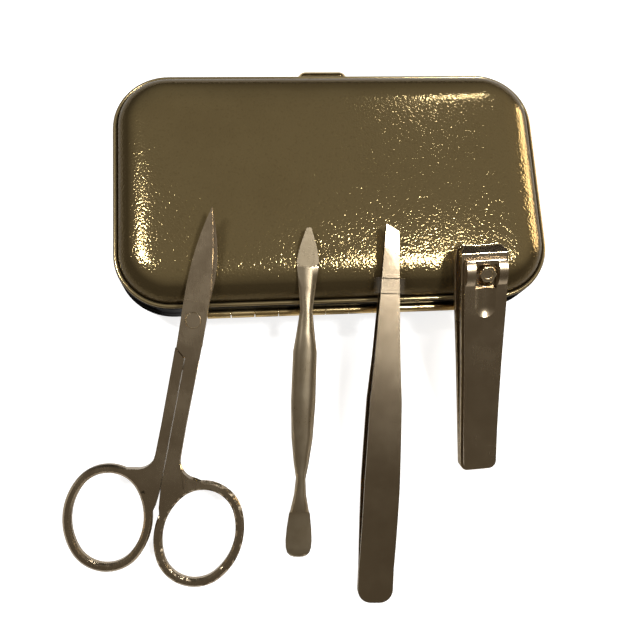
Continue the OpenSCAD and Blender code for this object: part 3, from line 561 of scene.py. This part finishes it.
@dataclass(frozen=True)
class SatinMetal(Finish):
    """Satin metal: fine tumbled grain, smudges and brighter worn edges; on the scissors' grind
    line that bright colour is a painted highlight.
    """

    colour: Colour = (0.49, 0.395, 0.27, 1.0)
    shade: Colour = (0.42, 0.33, 0.22, 1.0)
    # bright worn-edge colour, also a painted highlight on the scissors' grind line
    edge: Colour = (0.92, 0.76, 0.48, 1.0)
    rough: float = 0.22
    smudge_rough: float = 0.04
    streak_rough: float = 0.06
    edge_gloss: float = 0.14
    patches: Pair = (0.35, 0.7)
    streak_share: float = 0.22
    grain: float = 0.000006

    def build(self) -> None:
        """Builds the metal."""
        tree, shader = self.shader(Metallic=1.0)
        satin = SATIN.place(tree)
        edges = WEAR_AND_PAINTED_EDGE_LIGHT.place(tree)
        marks = HANDLING.place(tree)
        patches = spread(tree, satin["Patch"], *self.patches)
        streaks = maths(tree, "MULTIPLY", satin["Streaks"], self.streak_share)
        tone = mix_colours(tree, patches, self.shade, self.colour)
        tone = mix_colours(tree, streaks, tone, self.shade)
        smudged = maths(tree, "MULTIPLY", marks["Smudge"], self.smudge_rough)
        streaked = maths(tree, "MULTIPLY", satin["Streaks"], self.streak_rough)
        glossed = maths(tree, "MULTIPLY", edges["Mask"], self.edge_gloss)
        rough = maths(tree, "ADD", maths(tree, "ADD", self.rough, smudged), streaked)
        self.feed(tree, shader, Base_Color=mix_colours(tree, edges["Mask"], tone, self.edge),
                  Roughness=maths(tree, "SUBTRACT", rough, glossed))
        self.bump(tree, shader, satin["Height"], self.grain)


@dataclass(frozen=True)
class ClearFilm(Finish):
    """Thin clear film with a faint haze, and painted shade on its eased edges: darker and more
    opaque.
    """

    colour: Colour = (0.42, 0.37, 0.30, 1.0)
    # painted shade: dark colour of the film's ends
    painted_end_shade: Colour = (0.06, 0.045, 0.03, 1.0)
    haze: Pair = (0.06, 0.2)
    opacity: Pair = (0.04, 0.85)

    def build(self) -> None:
        """Builds the film."""
        tree, shader = self.shader(IOR=1.4)
        marks = HANDLING.place(tree, smudge=0.004)
        # Painted shade: the eased edges grow dark and opaque.
        edges = WEAR_AND_PAINTED_EDGE_LIGHT.place(tree, low=0.0, high=0.1)
        self.feed(tree, shader,
                  Roughness=spread(tree, marks["Smudge"], 0.0, 1.0, *self.haze),
                  Base_Color=mix_colours(tree, edges["Mask"], self.colour, self.painted_end_shade),
                  Alpha=spread(tree, edges["Mask"], 0.0, 1.0, *self.opacity))


@dataclass(frozen=True)
class Velvet(Finish):
    """Short black pile with a soft sheen and brushed patches."""

    colour: Colour = (0.012, 0.010, 0.010, 1.0)
    brushed: Colour = (0.035, 0.030, 0.029, 1.0)
    sheen: Colour = (0.55, 0.5, 0.48, 1.0)
    lay_size: float = 0.014
    lay: Pair = (0.4, 0.66)
    pile_size: float = 0.00022
    pile_shade: float = 0.6
    pile_depth: float = 0.00012

    def build(self) -> None:
        """Builds the velvet."""
        tree, shader = self.shader(Roughness=0.95, Sheen_Weight=0.7, Sheen_Roughness=0.35,
                                   Sheen_Tint=self.sheen, Specular_IOR_Level=0.1)
        coords = coords_of(tree)["Object"]
        lay = spread(tree, noise_at(tree, coords, self.lay_size, detail=3.0), *self.lay)
        pile = noise_at(tree, coords, self.pile_size, detail=2.0)
        tone = mix_colours(tree, lay, self.colour, self.brushed)
        deep = maths(tree, "MULTIPLY", pile, self.pile_shade)
        self.feed(tree, shader, Base_Color=mix_colours(tree, deep, tone, self.colour))
        self.bump(tree, shader, pile, self.pile_depth)


@dataclass(frozen=True)
class WovenElastic(Finish):
    """Flat woven elastic: ribs along the band, crossed by fine picks."""

    colour: Colour = (0.014, 0.013, 0.013, 1.0)
    thread: Colour = (0.05, 0.048, 0.047, 1.0)
    rib_share: float = 0.7
    depth: float = 0.00012

    def waves(self, tree: Tree, coords: Socket, axis: str, scale: float, waver: float,
              share: float) -> Socket:
        """Adds threads side by side along an axis, as a share of the weave's height."""
        node = add_node(tree, "ShaderNodeTexWave",
                        {"Vector": coords, "Scale": scale, "Distortion": waver},
                        wave_profile="SIN", bands_direction=axis)
        return maths(tree, "MULTIPLY", node.outputs["Fac"], share)

    def build(self) -> None:
        """Builds the weave."""
        tree, shader = self.shader(Roughness=0.75, Sheen_Weight=0.25, Specular_IOR_Level=0.25)
        coords = coords_of(tree)["Object"]
        ribs = self.waves(tree, coords, "X", 420.0, 0.2, self.rib_share)
        picks = self.waves(tree, coords, "Y", 700.0, 0.3, 1.0 - self.rib_share)
        weave = maths(tree, "ADD", ribs, picks)
        self.feed(tree, shader, Base_Color=mix_colours(tree, weave, self.colour, self.thread))
        self.bump(tree, shader, weave, self.depth)


FOIL = PebbledFoil("gold_pebbled_foil", Slot.COVER)
# The piping's shoulder tone is painted shade as well.
BEAD = PebbledFoil("gold_foil_piping", Slot.PIPING, rough=0.17, depth=0.00001,
                   deep=(0.30, 0.22, 0.11, 1.0), light=(0.42, 0.33, 0.17, 1.0),
                   shoulder=(0.2, 0.15, 0.075, 1.0))
ENAMEL = GlossEnamel("gloss_black_enamel", Slot.FRAME)
BRASS = SatinMetal("polished_gold", Slot.HINGE, colour=(0.80, 0.62, 0.32, 1.0),
                   shade=(0.66, 0.48, 0.22, 1.0), edge=(0.95, 0.82, 0.55, 1.0),
                   rough=0.16, smudge_rough=0.06, grain=0.000002)
TOOL_STEEL = SatinMetal("satin_champagne", Slot.TOOL)
BRIGHT_STEEL = SatinMetal("bright_champagne", Slot.TOOL, colour=(0.56, 0.47, 0.33, 1.0),
                          shade=(0.48, 0.39, 0.26, 1.0), rough=0.25)
TWEEZER_STEEL = SatinMetal("smooth_champagne", Slot.TOOL, rough=0.155, smudge_rough=0.02)
SPRING_STEEL = SatinMetal("bright_spring_steel", Slot.SPRING,
                          colour=(0.62, 0.62, 0.62, 1.0), shade=(0.48, 0.48, 0.48, 1.0),
                          edge=(0.8, 0.8, 0.8, 1.0), rough=0.2)
FILM = ClearFilm("clear_sleeve_film", Slot.FILM)
VELVET = Velvet("black_velvet", Slot.LINING)
BOARD_VELVET = Velvet("board_velvet", Slot.BOARD)
ELASTIC = WovenElastic("woven_elastic", Slot.ELASTIC)


# The case


@dataclass
class CaseSizes:
    """Sizes of the case in millimetres, read from the frame where it holds them."""

    width: float
    depth: float
    seam: float
    corner: float = 15.0

    @classmethod
    def from_frame(cls, half_gap: float = 0.05) -> "CaseSizes":
        """Reads the closed case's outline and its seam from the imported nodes.

        Args:
            half_gap: Half the gap between the two frames.

        Returns:
            The sizes.
        """
        low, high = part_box("base_frame")
        return cls(width=(high[0] - low[0]) / MM, depth=2 * high[1] / MM,
                   seam=high[2] / MM + half_gap)


@dataclass
class Pillow:
    """A padded skin in the case's outline: skirt, rounded shoulder and crowned middle.

    Lengths are in millimetres, and heights count from the seam. The shoulder is a
    superellipse. The cuts are those of a long and of a short side, and the rings are
    shares of the flat middle, from outside to inside.
    """

    name: str
    half: Half
    case: CaseSizes
    height: float
    skirt: float
    inset: float
    start: float
    shoulder: float
    crown: float
    wall: float
    lower: float = 1.2
    welt: float = 0.7
    welt_step: float = 0.1
    corner_steps: int = 16
    shoulder_steps: int = 14
    side_cuts: tuple[int, int] = (26, 12)
    rings: tuple[float, ...] = (0.93, 0.84, 0.72, 0.58, 0.44, 0.3, 0.17, 0.07)
    fullness: float = 2.15
    crown_fall: float = 0.8
    ripple: float = 0.035
    ripple_size: float = 11.0
    still_middle: float = 0.9

    def section(self) -> list[Pair]:
        """Inset and height of each ring, from the skirt's lower edge inwards."""
        rise = self.height - self.crown - self.start
        power = 2 / self.fullness
        points = [(self.skirt, self.lower), (self.skirt, self.start - self.welt),
                  (self.skirt + self.welt_step, self.start - self.welt / 2)]
        for step in range(self.shoulder_steps + 1):
            turn = math.pi / 2 * step / self.shoulder_steps
            across = (1 - math.cos(turn) ** power) * self.shoulder
            points.append((self.inset + across, self.start + rise * math.sin(turn) ** power))
        return points

    def build(self) -> Piece:
        """Draws the rounded outline, steps it inwards along the section and crowns it.

        Returns:
            The piece, as a thin closed skin.
        """
        least_inset, long_edge, soft_angle = 0.001, 20 * MM, 60
        case = self.case
        section = self.section()
        outer = section[0][0]
        bpy.ops.mesh.primitive_plane_add(size=1, location=(0, 0, 0))
        piece = bpy.context.active_object
        piece.scale = ((case.width - 2 * outer) * MM, (case.depth - 2 * outer) * MM, 1)
        settle(piece, self.name)
        with editing(piece):
            bpy.ops.mesh.bevel(offset=(case.corner - outer) * MM, segments=self.corner_steps,
                               affect="VERTICES")
            bpy.ops.mesh.delete(type="ONLY_FACE")
            for side, cuts in enumerate(self.side_cuts):
                pick_edges(piece, lambda a, b: abs(a[side] - b[side]) > long_edge)
                bpy.ops.mesh.subdivide(number_cuts=cuts)
            bpy.ops.mesh.select_all(action="SELECT")
            bpy.ops.mesh.edge_face_add()
            if next(iter(bmesh.from_edit_mesh(piece.data).faces)).normal.z < 0:
                bpy.ops.mesh.flip_normals()
            bpy.ops.mesh.select_mode(type="FACE")
            for (s0, h0), (s1, h1) in zip(section, section[1:]):
                bpy.ops.mesh.inset(thickness=max(s1 - s0, least_inset) * MM,
                                   depth=(h1 - h0) * MM)
            reach = 1.0
            for share in self.rings:
                bpy.ops.mesh.extrude_region_move()
                bpy.ops.transform.resize(value=(share / reach, share / reach, 1),
                                         center_override=(0, 0, 0))
                reach = share
            bpy.ops.mesh.poke()
        self.crown_and_place(piece, section[0][1])
        finish_with(piece, "SOLIDIFY", thickness=self.wall * MM, offset=-1.0)
        smooth(piece, soft_angle)
        return piece

    def crown_and_place(self, piece: Piece, lowest: float) -> None:
        """Raises the middle, adds the padding's slight unevenness and sets the skin.

        Args:
            piece: The flat-topped skin, drawn from z = 0 at the skirt.
            lowest: Height of the skirt's lower edge.
        """
        half_x = (self.case.width / 2 - self.inset - self.shoulder / 2) * MM
        half_y = (self.case.depth / 2 - self.inset - self.shoulder / 2) * MM
        for vertex in piece.data.vertices:
            x, y, z = vertex.co
            z += lowest * MM
            inward = max(0.0, 1 - (x / half_x) ** 2) * max(0.0, 1 - (y / half_y) ** 2)
            z += self.crown * MM * inward ** self.crown_fall
            if z > self.start * MM:
                place = Vector((x, y, z)) / (self.ripple_size * MM)
                wave = noise.noise(place) * self.ripple * MM
                z += min(wave, 0.0) if inward > self.still_middle else wave
            vertex.co = (x, y, self.case.seam * MM + self.half.value * z)
        if self.half is Half.BASE:
            with editing(piece):
                bpy.ops.mesh.normals_make_consistent(inside=False)


@dataclass
class Case:
    """The case: covered halves, frames, piping, lining, board with its band, hinge, clasp.

    Lengths are in millimetres, and heights count from the seam.
    """

    sizes: CaseSizes = field(default_factory=CaseSizes.from_frame)
    lid_height: float = 12.0
    base_height: float = 12.5
    crown: float = 1.3
    frame_edge: float = 0.12
    bead_edge: float = 0.14
    hinge_edge: float = 0.09
    clasp_edge: float = 0.1
    spring_room: float = 0.15
    wire: float = 0.13
    turns: int = 3
    turn_steps: int = 20
    board_corner: float = 3.0
    board_lip: float = 0.35
    band_thickness: float = 0.55
    loops: tuple[float, ...] = (8.5, 6.5, 9.0, 9.5)
    loop_steps: int = 10
    loop_fullness: float = 0.8
    pieces: list[tuple[Piece, str]] = field(default_factory=list)

    def ride(self, piece: Piece, body: str) -> None:
        """Fixes a piece to a body and keeps it for the report."""
        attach(piece, body)
        self.pieces.append((piece, body))

    def covers(self) -> None:
        """Builds the padded foil covers of both halves."""
        for name, half, height, crown, body in (
                ("lid_cover", Half.LID, self.lid_height, self.crown, "lid"),
                ("base_cover", Half.BASE, self.base_height, 0.0, "case_base")):
            pillow = Pillow(name, half, self.sizes, height=height, skirt=1.28, inset=1.32,
                            start=4.5, shoulder=9.6, crown=crown, wall=0.8)
            piece = pillow.build()
            FOIL.dress(piece)
            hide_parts(name.replace("cover", "shell"))
            self.ride(piece, body)

    def linings(self) -> None:
        """Builds the velvet linings inside both halves."""
        for name, half, height, crown, body in (
                ("lid_velvet", Half.LID, self.lid_height - 1.3, self.crown, "lid"),
                ("base_velvet", Half.BASE, self.base_height - 1.25, 0.0, "case_base")):
            pillow = Pillow(name, half, self.sizes, height=height, skirt=2.5, inset=3.2,
                            start=4.1, shoulder=8.7, crown=crown, wall=0.7, shoulder_steps=8)
            piece = pillow.build()
            VELVET.dress(piece)
            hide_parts(name.replace("velvet", "lining"))
            self.ride(piece, body)

    def frames(self) -> None:
        """Eases the frames' edges and the piping's bead."""
        bead_angle = 20
        for half, body in (("base", "case_base"), ("lid", "lid")):
            rim = machined(f"{half}_frame", f"{half}_enamel_frame", self.frame_edge)
            ENAMEL.dress(rim)
            self.ride(rim, body)
            bead = machined(f"{half}_piping", f"{half}_bead", self.bead_edge, bead_angle)
            BEAD.dress(bead)
            self.ride(bead, body)

    def fittings(self, edge: float, *parts: tuple[str, str]) -> None:
        """Dresses brass fittings, each given as its node and its body."""
        for node, body in parts:
            piece = machined(node, node + "_brass", edge)
            BRASS.dress(piece)
            self.ride(piece, body)

    def springs(self) -> None:
        """Winds the clasp's two return springs, which the push bar squashes; here they are
        rigid coils on the case's base.
        """
        low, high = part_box("clasp_springs")
        room = self.spring_room * MM
        radius = (high[2] - low[2]) / 2 - room
        middle = (low[2] + high[2]) / 2
        coils = [self.spring(x, low[1], high[1] - low[1], middle, radius)
                 for x in (low[0] + radius + room, high[0] - radius - room)]
        activate(coils[0])
        coils[1].select_set(True)
        bpy.ops.object.join()
        springs = settle(coils[0], "clasp_coils")
        SPRING_STEEL.dress(springs)
        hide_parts("clasp_springs")
        self.ride(springs, "case_base")
        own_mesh(springs)

    def spring(self, x: float, y: float, length: float, z: float, radius: float) -> Piece:
        """Winds one return spring along Y from a small circle.

        Args:
            x: Middle of the spring along X, in metres.
            y: Its fixed end along Y.
            length: Its length.
            z: Its height.
            radius: Radius of the coil.

        Returns:
            The coil, at its place.
        """
        wire, steps, soft_angle = self.wire * MM, self.turn_steps * self.turns, 60
        bpy.ops.mesh.primitive_circle_add(vertices=10, radius=wire, location=(radius, 0, wire),
                                          rotation=(math.pi / 2, 0, 0))
        coil = settle(bpy.context.active_object, "coil")
        finish_with(coil, "SCREW", axis="Z", angle=2 * math.pi * self.turns,
                    screw_offset=length - 2 * wire, steps=steps, render_steps=steps,
                    use_merge_vertices=True)
        coil.rotation_euler = (-math.pi / 2, 0, 0)
        coil.location = (x, y, z)
        smooth(coil, soft_angle)
        return settle(coil, "coil")

    def board(self) -> float:
        """Builds the velvet board.

        Returns:
            Height of its upper face, in metres.
        """
        upright, upward, soft_angle = 0.5 * MM, 0.9, 40
        low, high = (Vector(corner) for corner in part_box("tool_board"))
        bpy.ops.mesh.primitive_cube_add(size=1, location=(low + high) / 2)
        board = bpy.context.active_object
        board.scale = high - low
        settle(board, "velvet_board")
        with editing(board, "DESELECT"):
            pick_edges(board, lambda a, b: abs(a.z - b.z) > upright)
            bpy.ops.mesh.bevel(offset=self.board_corner * MM, segments=8)
            pick_faces(board, lambda normal: normal.z > upward)
            bpy.ops.mesh.bevel(offset=self.board_lip * MM, segments=3)
        smooth(board, soft_angle)
        BOARD_VELVET.dress(board)
        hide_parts("tool_board")
        self.ride(board, "case_base")
        return high.z

    def band_path(self, start: float, land: float, rise: float) -> list[Pair]:
        """Y and height of the band's course: flat lands with an arched loop between two.

        Args:
            start: Where the band starts along Y, in metres.
            land: Length of a land.
            rise: Height of the loops.

        Returns:
            The points of the course.
        """
        path = [(start, 0.0), (start + land, 0.0)]
        for loop in self.loops:
            foot = path[-1][0]
            for step in range(1, self.loop_steps + 1):
                turn = math.pi * step / self.loop_steps
                path.append((foot + loop * MM * (1 - math.cos(turn)) / 2,
                             rise * math.sin(turn) ** self.loop_fullness))
            path.append((path[-1][0] + land, 0.0))
        return path

    def band(self, board_top: float) -> None:
        """Lays the elastic band over the board in arched loops, with lands between them.

        Args:
            board_top: Height of the board's upper face, in metres.
        """
        low, high = (Vector(corner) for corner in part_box("elastic_band"))
        thick, soft_angle = self.band_thickness * MM, 50
        land = ((high.y - low.y) / MM - sum(self.loops)) / (len(self.loops) + 1) * MM
        path = self.band_path(low.y, land, high.z - board_top - thick)
        bpy.ops.mesh.primitive_plane_add(
            size=1, location=((low.x + high.x) / 2, low.y + land / 2, board_top))
        band = bpy.context.active_object
        band.scale = (high.x - low.x, land, 1)
        settle(band, "elastic_loops")
        with editing(band, "DESELECT"):
            pick_edges(band, lambda a, b: min(a.y, b.y) > low.y + land / 2)
            for (y0, z0), (y1, z1) in zip(path[1:], path[2:]):
                bpy.ops.mesh.extrude_region_move(
                    TRANSFORM_OT_translate={"value": (0, y1 - y0, z1 - z0)})
        finish_with(band, "SOLIDIFY", thickness=thick, offset=1.0)
        smooth(band, soft_angle)
        ELASTIC.dress(band)
        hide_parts("elastic_band")
        self.ride(band, "case_base")

    def build(self) -> list[tuple[Piece, str]]:
        """Builds and dresses the whole case.

        Returns:
            The pieces with their bodies.
        """
        self.covers()
        self.linings()
        self.frames()
        self.fittings(self.hinge_edge, ("hinge_leaf_base", "case_base"),
                      ("hinge_leaf_lid", "lid"), ("hinge_pin", "case_base"))
        self.fittings(self.clasp_edge, ("clasp_button", "clasp"), ("clasp_latch", "clasp"),
                      ("clasp_catch", "lid"))
        self.springs()
        self.band(self.board())
        return self.pieces


# The tools


@dataclass
class Tools:
    """The four tools: scissors, cuticle pusher, tweezers with their sleeve, nail clipper.

    Directions are in the photographed pose. The blade's grind ends between two lengths
    from the scissors' foot, in millimetres. Its end, and the sleeve's ends, are the faces
    that face along the tool by more than a given cosine; the grind's end takes a painted
    highlight and the sleeve's ends take painted shade.
    """

    sleeve_axis: Triple = (0.072, 0.957, 0.283)
    sleeve_end: float = 0.3
    scissors_axis: Triple = (0.1955, 0.9356, 0.2945)
    scissors_plane: Triple = (-0.0602, -0.2883, 0.9556)
    scissors_foot: Triple = (-0.0502, -0.099, 0.0)
    grind_span: Pair = (71.0, 80.0)
    grind_end: float = 0.4
    pieces: list[tuple[Piece, str]] = field(default_factory=list)

    def add(self, node: str, body: str, finish: Finish, edge: float, angle: float = SHARP,
            plane: Triple = NO_PLANE) -> Piece:
        """Dresses one CAD node of a tool with eased edges."""
        piece = machined(node, node + "_satin", edge, angle, plane)
        finish.dress(piece)
        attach(piece, body)
        self.pieces.append((piece, body))
        return piece

    def scissors(self) -> None:
        """Dresses both halves and the screw, and paints the grind's end with the bright
        worn-edge colour as a highlight line.
        """
        edge, screw_edge, plane = 0.18, 0.16, self.scissors_plane
        blade = self.add("scissors_half_right", "scissors", TOOL_STEEL, edge, plane=plane)
        self.add("scissors_half_left", "scissors_left", TOOL_STEEL, edge, plane=plane)
        self.add("scissors_screw", "scissors", TOOL_STEEL, screw_edge)
        # Painted highlight: the faces at the grind's end take the bright worn-edge colour.
        foot, along = Vector(self.scissors_foot), Vector(self.scissors_axis)
        eased = blade.data.attributes[EASED]
        low, high = self.grind_span
        for face in blade.data.polygons:
            length = (face.center - foot).dot(along) / MM
            if low < length < high and abs(face.normal.dot(along)) > self.grind_end:
                eased.data[face.index].value = 1.0

    def pusher(self) -> None:
        """Dresses the cuticle pusher."""
        self.add("cuticle_pusher", "pusher", BRIGHT_STEEL, 0)

    def tweezers(self) -> None:
        """Dresses both arms and the clear sleeve, and marks the sleeve's ends, which take
        painted shade.
        """
        arm_edge, sleeve_edge, sleeve_angle = 0.15, 0.14, 60
        self.add("tweezers_lower_arm", "tweezers", TWEEZER_STEEL, arm_edge)
        self.add("tweezers_upper_arm", "tweezers_upper", TWEEZER_STEEL, arm_edge)
        sleeve = self.add("tip_sleeve", "sleeve", FILM, sleeve_edge, sleeve_angle)
        along, eased = Vector(self.sleeve_axis), sleeve.data.attributes[EASED]
        # Painted shade: only the sleeve's ends keep the eased mark, which darkens them.
        for face in sleeve.data.polygons:
            end = abs(face.normal.dot(along)) > self.sleeve_end
            eased.data[face.index].value = float(end)

    def clipper(self) -> None:
        """Dresses the blades, rivet, post and lever."""
        for node, body, edge in (("clipper_lower_blade", "clipper", 0.15),
                                 ("clipper_upper_blade", "clipper_upper", 0.15),
                                 ("clipper_rivet", "clipper", 0.08),
                                 ("clipper_post", "clipper_post", 0.1),
                                 ("clipper_lever", "clipper_lever", 0.2)):
            self.add(node, body, TOOL_STEEL, edge)

    def build(self) -> list[tuple[Piece, str]]:
        """Builds all tools and returns the pieces with their bodies."""
        self.scissors()
        self.pusher()
        self.tweezers()
        self.clipper()
        return self.pieces


# Camera, light and floor


@dataclass(frozen=True)
class Panel:
    """A soft panel that faces the set.

    Attributes:
        name: The light's name.
        towards: Direction from the set to the panel.
        distance: Distance in metres.
        size: Width and height in metres.
        radiance: Brightness of the panel's face.
        colour: The light's colour.
    """

    name: str
    towards: Triple
    distance: float
    size: Pair
    radiance: float
    colour: Triple = (1.0, 1.0, 1.0)

    def hang(self, aim: Triple) -> None:
        """Hangs the panel, turned to a point of the set."""
        data = bpy.data.lights.new(self.name, "AREA")
        data.shape = "RECTANGLE"
        data.size, data.size_y = self.size
        data.energy = self.radiance * math.pi * self.size[0] * self.size[1]
        data.color = self.colour
        light = bpy.data.objects.new(self.name, data)
        bpy.context.scene.collection.objects.link(light)
        way = Vector(self.towards).normalized()
        light.location = Vector(aim) + way * self.distance
        light.rotation_euler = way.to_track_quat("Z", "Y").to_euler()


@dataclass
class Studio:
    """The photograph's viewpoint, a plain pale floor, soft light and a dim room.

    The eye and the floor's drop are in millimetres. The room's two ranges are how far a
    direction of length 1 points upwards, and to the rear.
    """

    eye: Triple = (-26.84, -81.92, 217.20)
    right: Triple = (0.9938, -0.0581, 0.0946)
    up: Triple = (0.0357, 0.9740, 0.2238)
    forward: Triple = (0.1052, 0.2190, -0.9700)
    lens: float = 45.0
    sensor: float = 36.0
    aim: Triple = (0.0, -0.02, 0.012)
    panels: tuple[Panel, ...] = (
        Panel("high_window", (0.33, -0.06, 0.94), 0.9, (0.185, 0.12), 82.0),
        Panel("left_panel", (-0.54, 0.18, 0.8), 0.8, (0.045, 0.2), 115.0),
        Panel("back_spot", (0.32, 0.66, 0.68), 0.9, (0.04, 0.035), 80.0),
        Panel("right_lamp", (0.93, 0.34, 0.12), 0.8, (0.4, 0.22), 19.0, (1.0, 0.84, 0.6)),
    )
    floor_size: float = 8.0
    floor_drop: float = 0.02
    floor_tone: Colour = (0.6, 0.6, 0.6, 1.0)
    floor_glow: float = 0.82
    low_room: Colour = (0.22, 0.21, 0.19, 1.0)
    high_room: Colour = (0.13, 0.114, 0.092, 1.0)
    rear_room: Colour = (0.02, 0.018, 0.015, 1.0)
    height_range: Pair = (0.03, 0.3)
    rear_range: Pair = (0.45, 0.85)

    def camera(self) -> None:
        """Sets the camera where the photograph was taken."""
        data = bpy.data.cameras.new("camera")
        data.lens = self.lens
        data.sensor_width = self.sensor
        camera = bpy.data.objects.new("camera", data)
        bpy.context.scene.collection.objects.link(camera)
        back = tuple(-part for part in self.forward)
        turn = Matrix((self.right, self.up, back)).transposed().to_4x4()
        camera.matrix_world = Matrix.Translation(Vector(self.eye) * MM) @ turn
        bpy.context.scene.camera = camera

    def floor(self) -> None:
        """Lays the pale floor with a little glow of its own for the camera."""
        bpy.ops.mesh.primitive_plane_add(size=self.floor_size,
                                         location=(0, 0, -self.floor_drop * MM))
        floor = settle(bpy.context.active_object, "floor")
        material = bpy.data.materials.new("pale_floor")
        material.use_nodes = True
        tree = material.node_tree
        shader = tree.nodes["Principled BSDF"]
        for label, value in (("Roughness", 0.9), ("Specular IOR Level", 0.1),
                             ("Base Color", self.floor_tone), ("Emission Color", WHITE)):
            shader.inputs[label].default_value = value
        path = add_node(tree, "ShaderNodeLightPath").outputs
        seen = maths(tree, "MAXIMUM", path["Is Camera Ray"], path["Is Transmission Ray"])
        tree.links.new(maths(tree, "MULTIPLY", seen, self.floor_glow),
                       shader.inputs["Emission Strength"])
        floor.data.materials.append(material)

    def world(self) -> None:
        """Paints the room: dim and warm, dark behind the case, white to the camera."""
        world = bpy.data.worlds.new("room")
        bpy.context.scene.world = world
        world.use_nodes = True
        tree = world.node_tree
        way = coords_of(tree)["Generated"]
        height = spread(tree, part_of(tree, way, "Z"), *self.height_range)
        rear = spread(tree, part_of(tree, way, "Y"), *self.rear_range)
        room = mix_colours(tree, height, self.low_room, self.high_room)
        room = mix_colours(tree, rear, room, self.rear_room)
        seen = add_node(tree, "ShaderNodeLightPath").outputs["Is Camera Ray"]
        tree.links.new(mix_colours(tree, seen, room, WHITE),
                       tree.nodes["Background"].inputs["Color"])

    def build(self) -> None:
        """Sets up camera, lights, floor and room."""
        self.camera()
        for panel in self.panels:
            panel.hang(self.aim)
        self.floor()
        self.world()
        bpy.context.scene.view_settings.view_transform = "Standard"


def main() -> None:
    """Builds everything in order and reports each piece."""
    logging.basicConfig(level=logging.INFO, format="%(message)s")
    for piece, body in Case().build() + Tools().build():
        LOG.info("%s: %d faces, on %s", piece.name, len(piece.data.polygons), body)
    Studio().build()


if __name__ == "__main__":
    main()
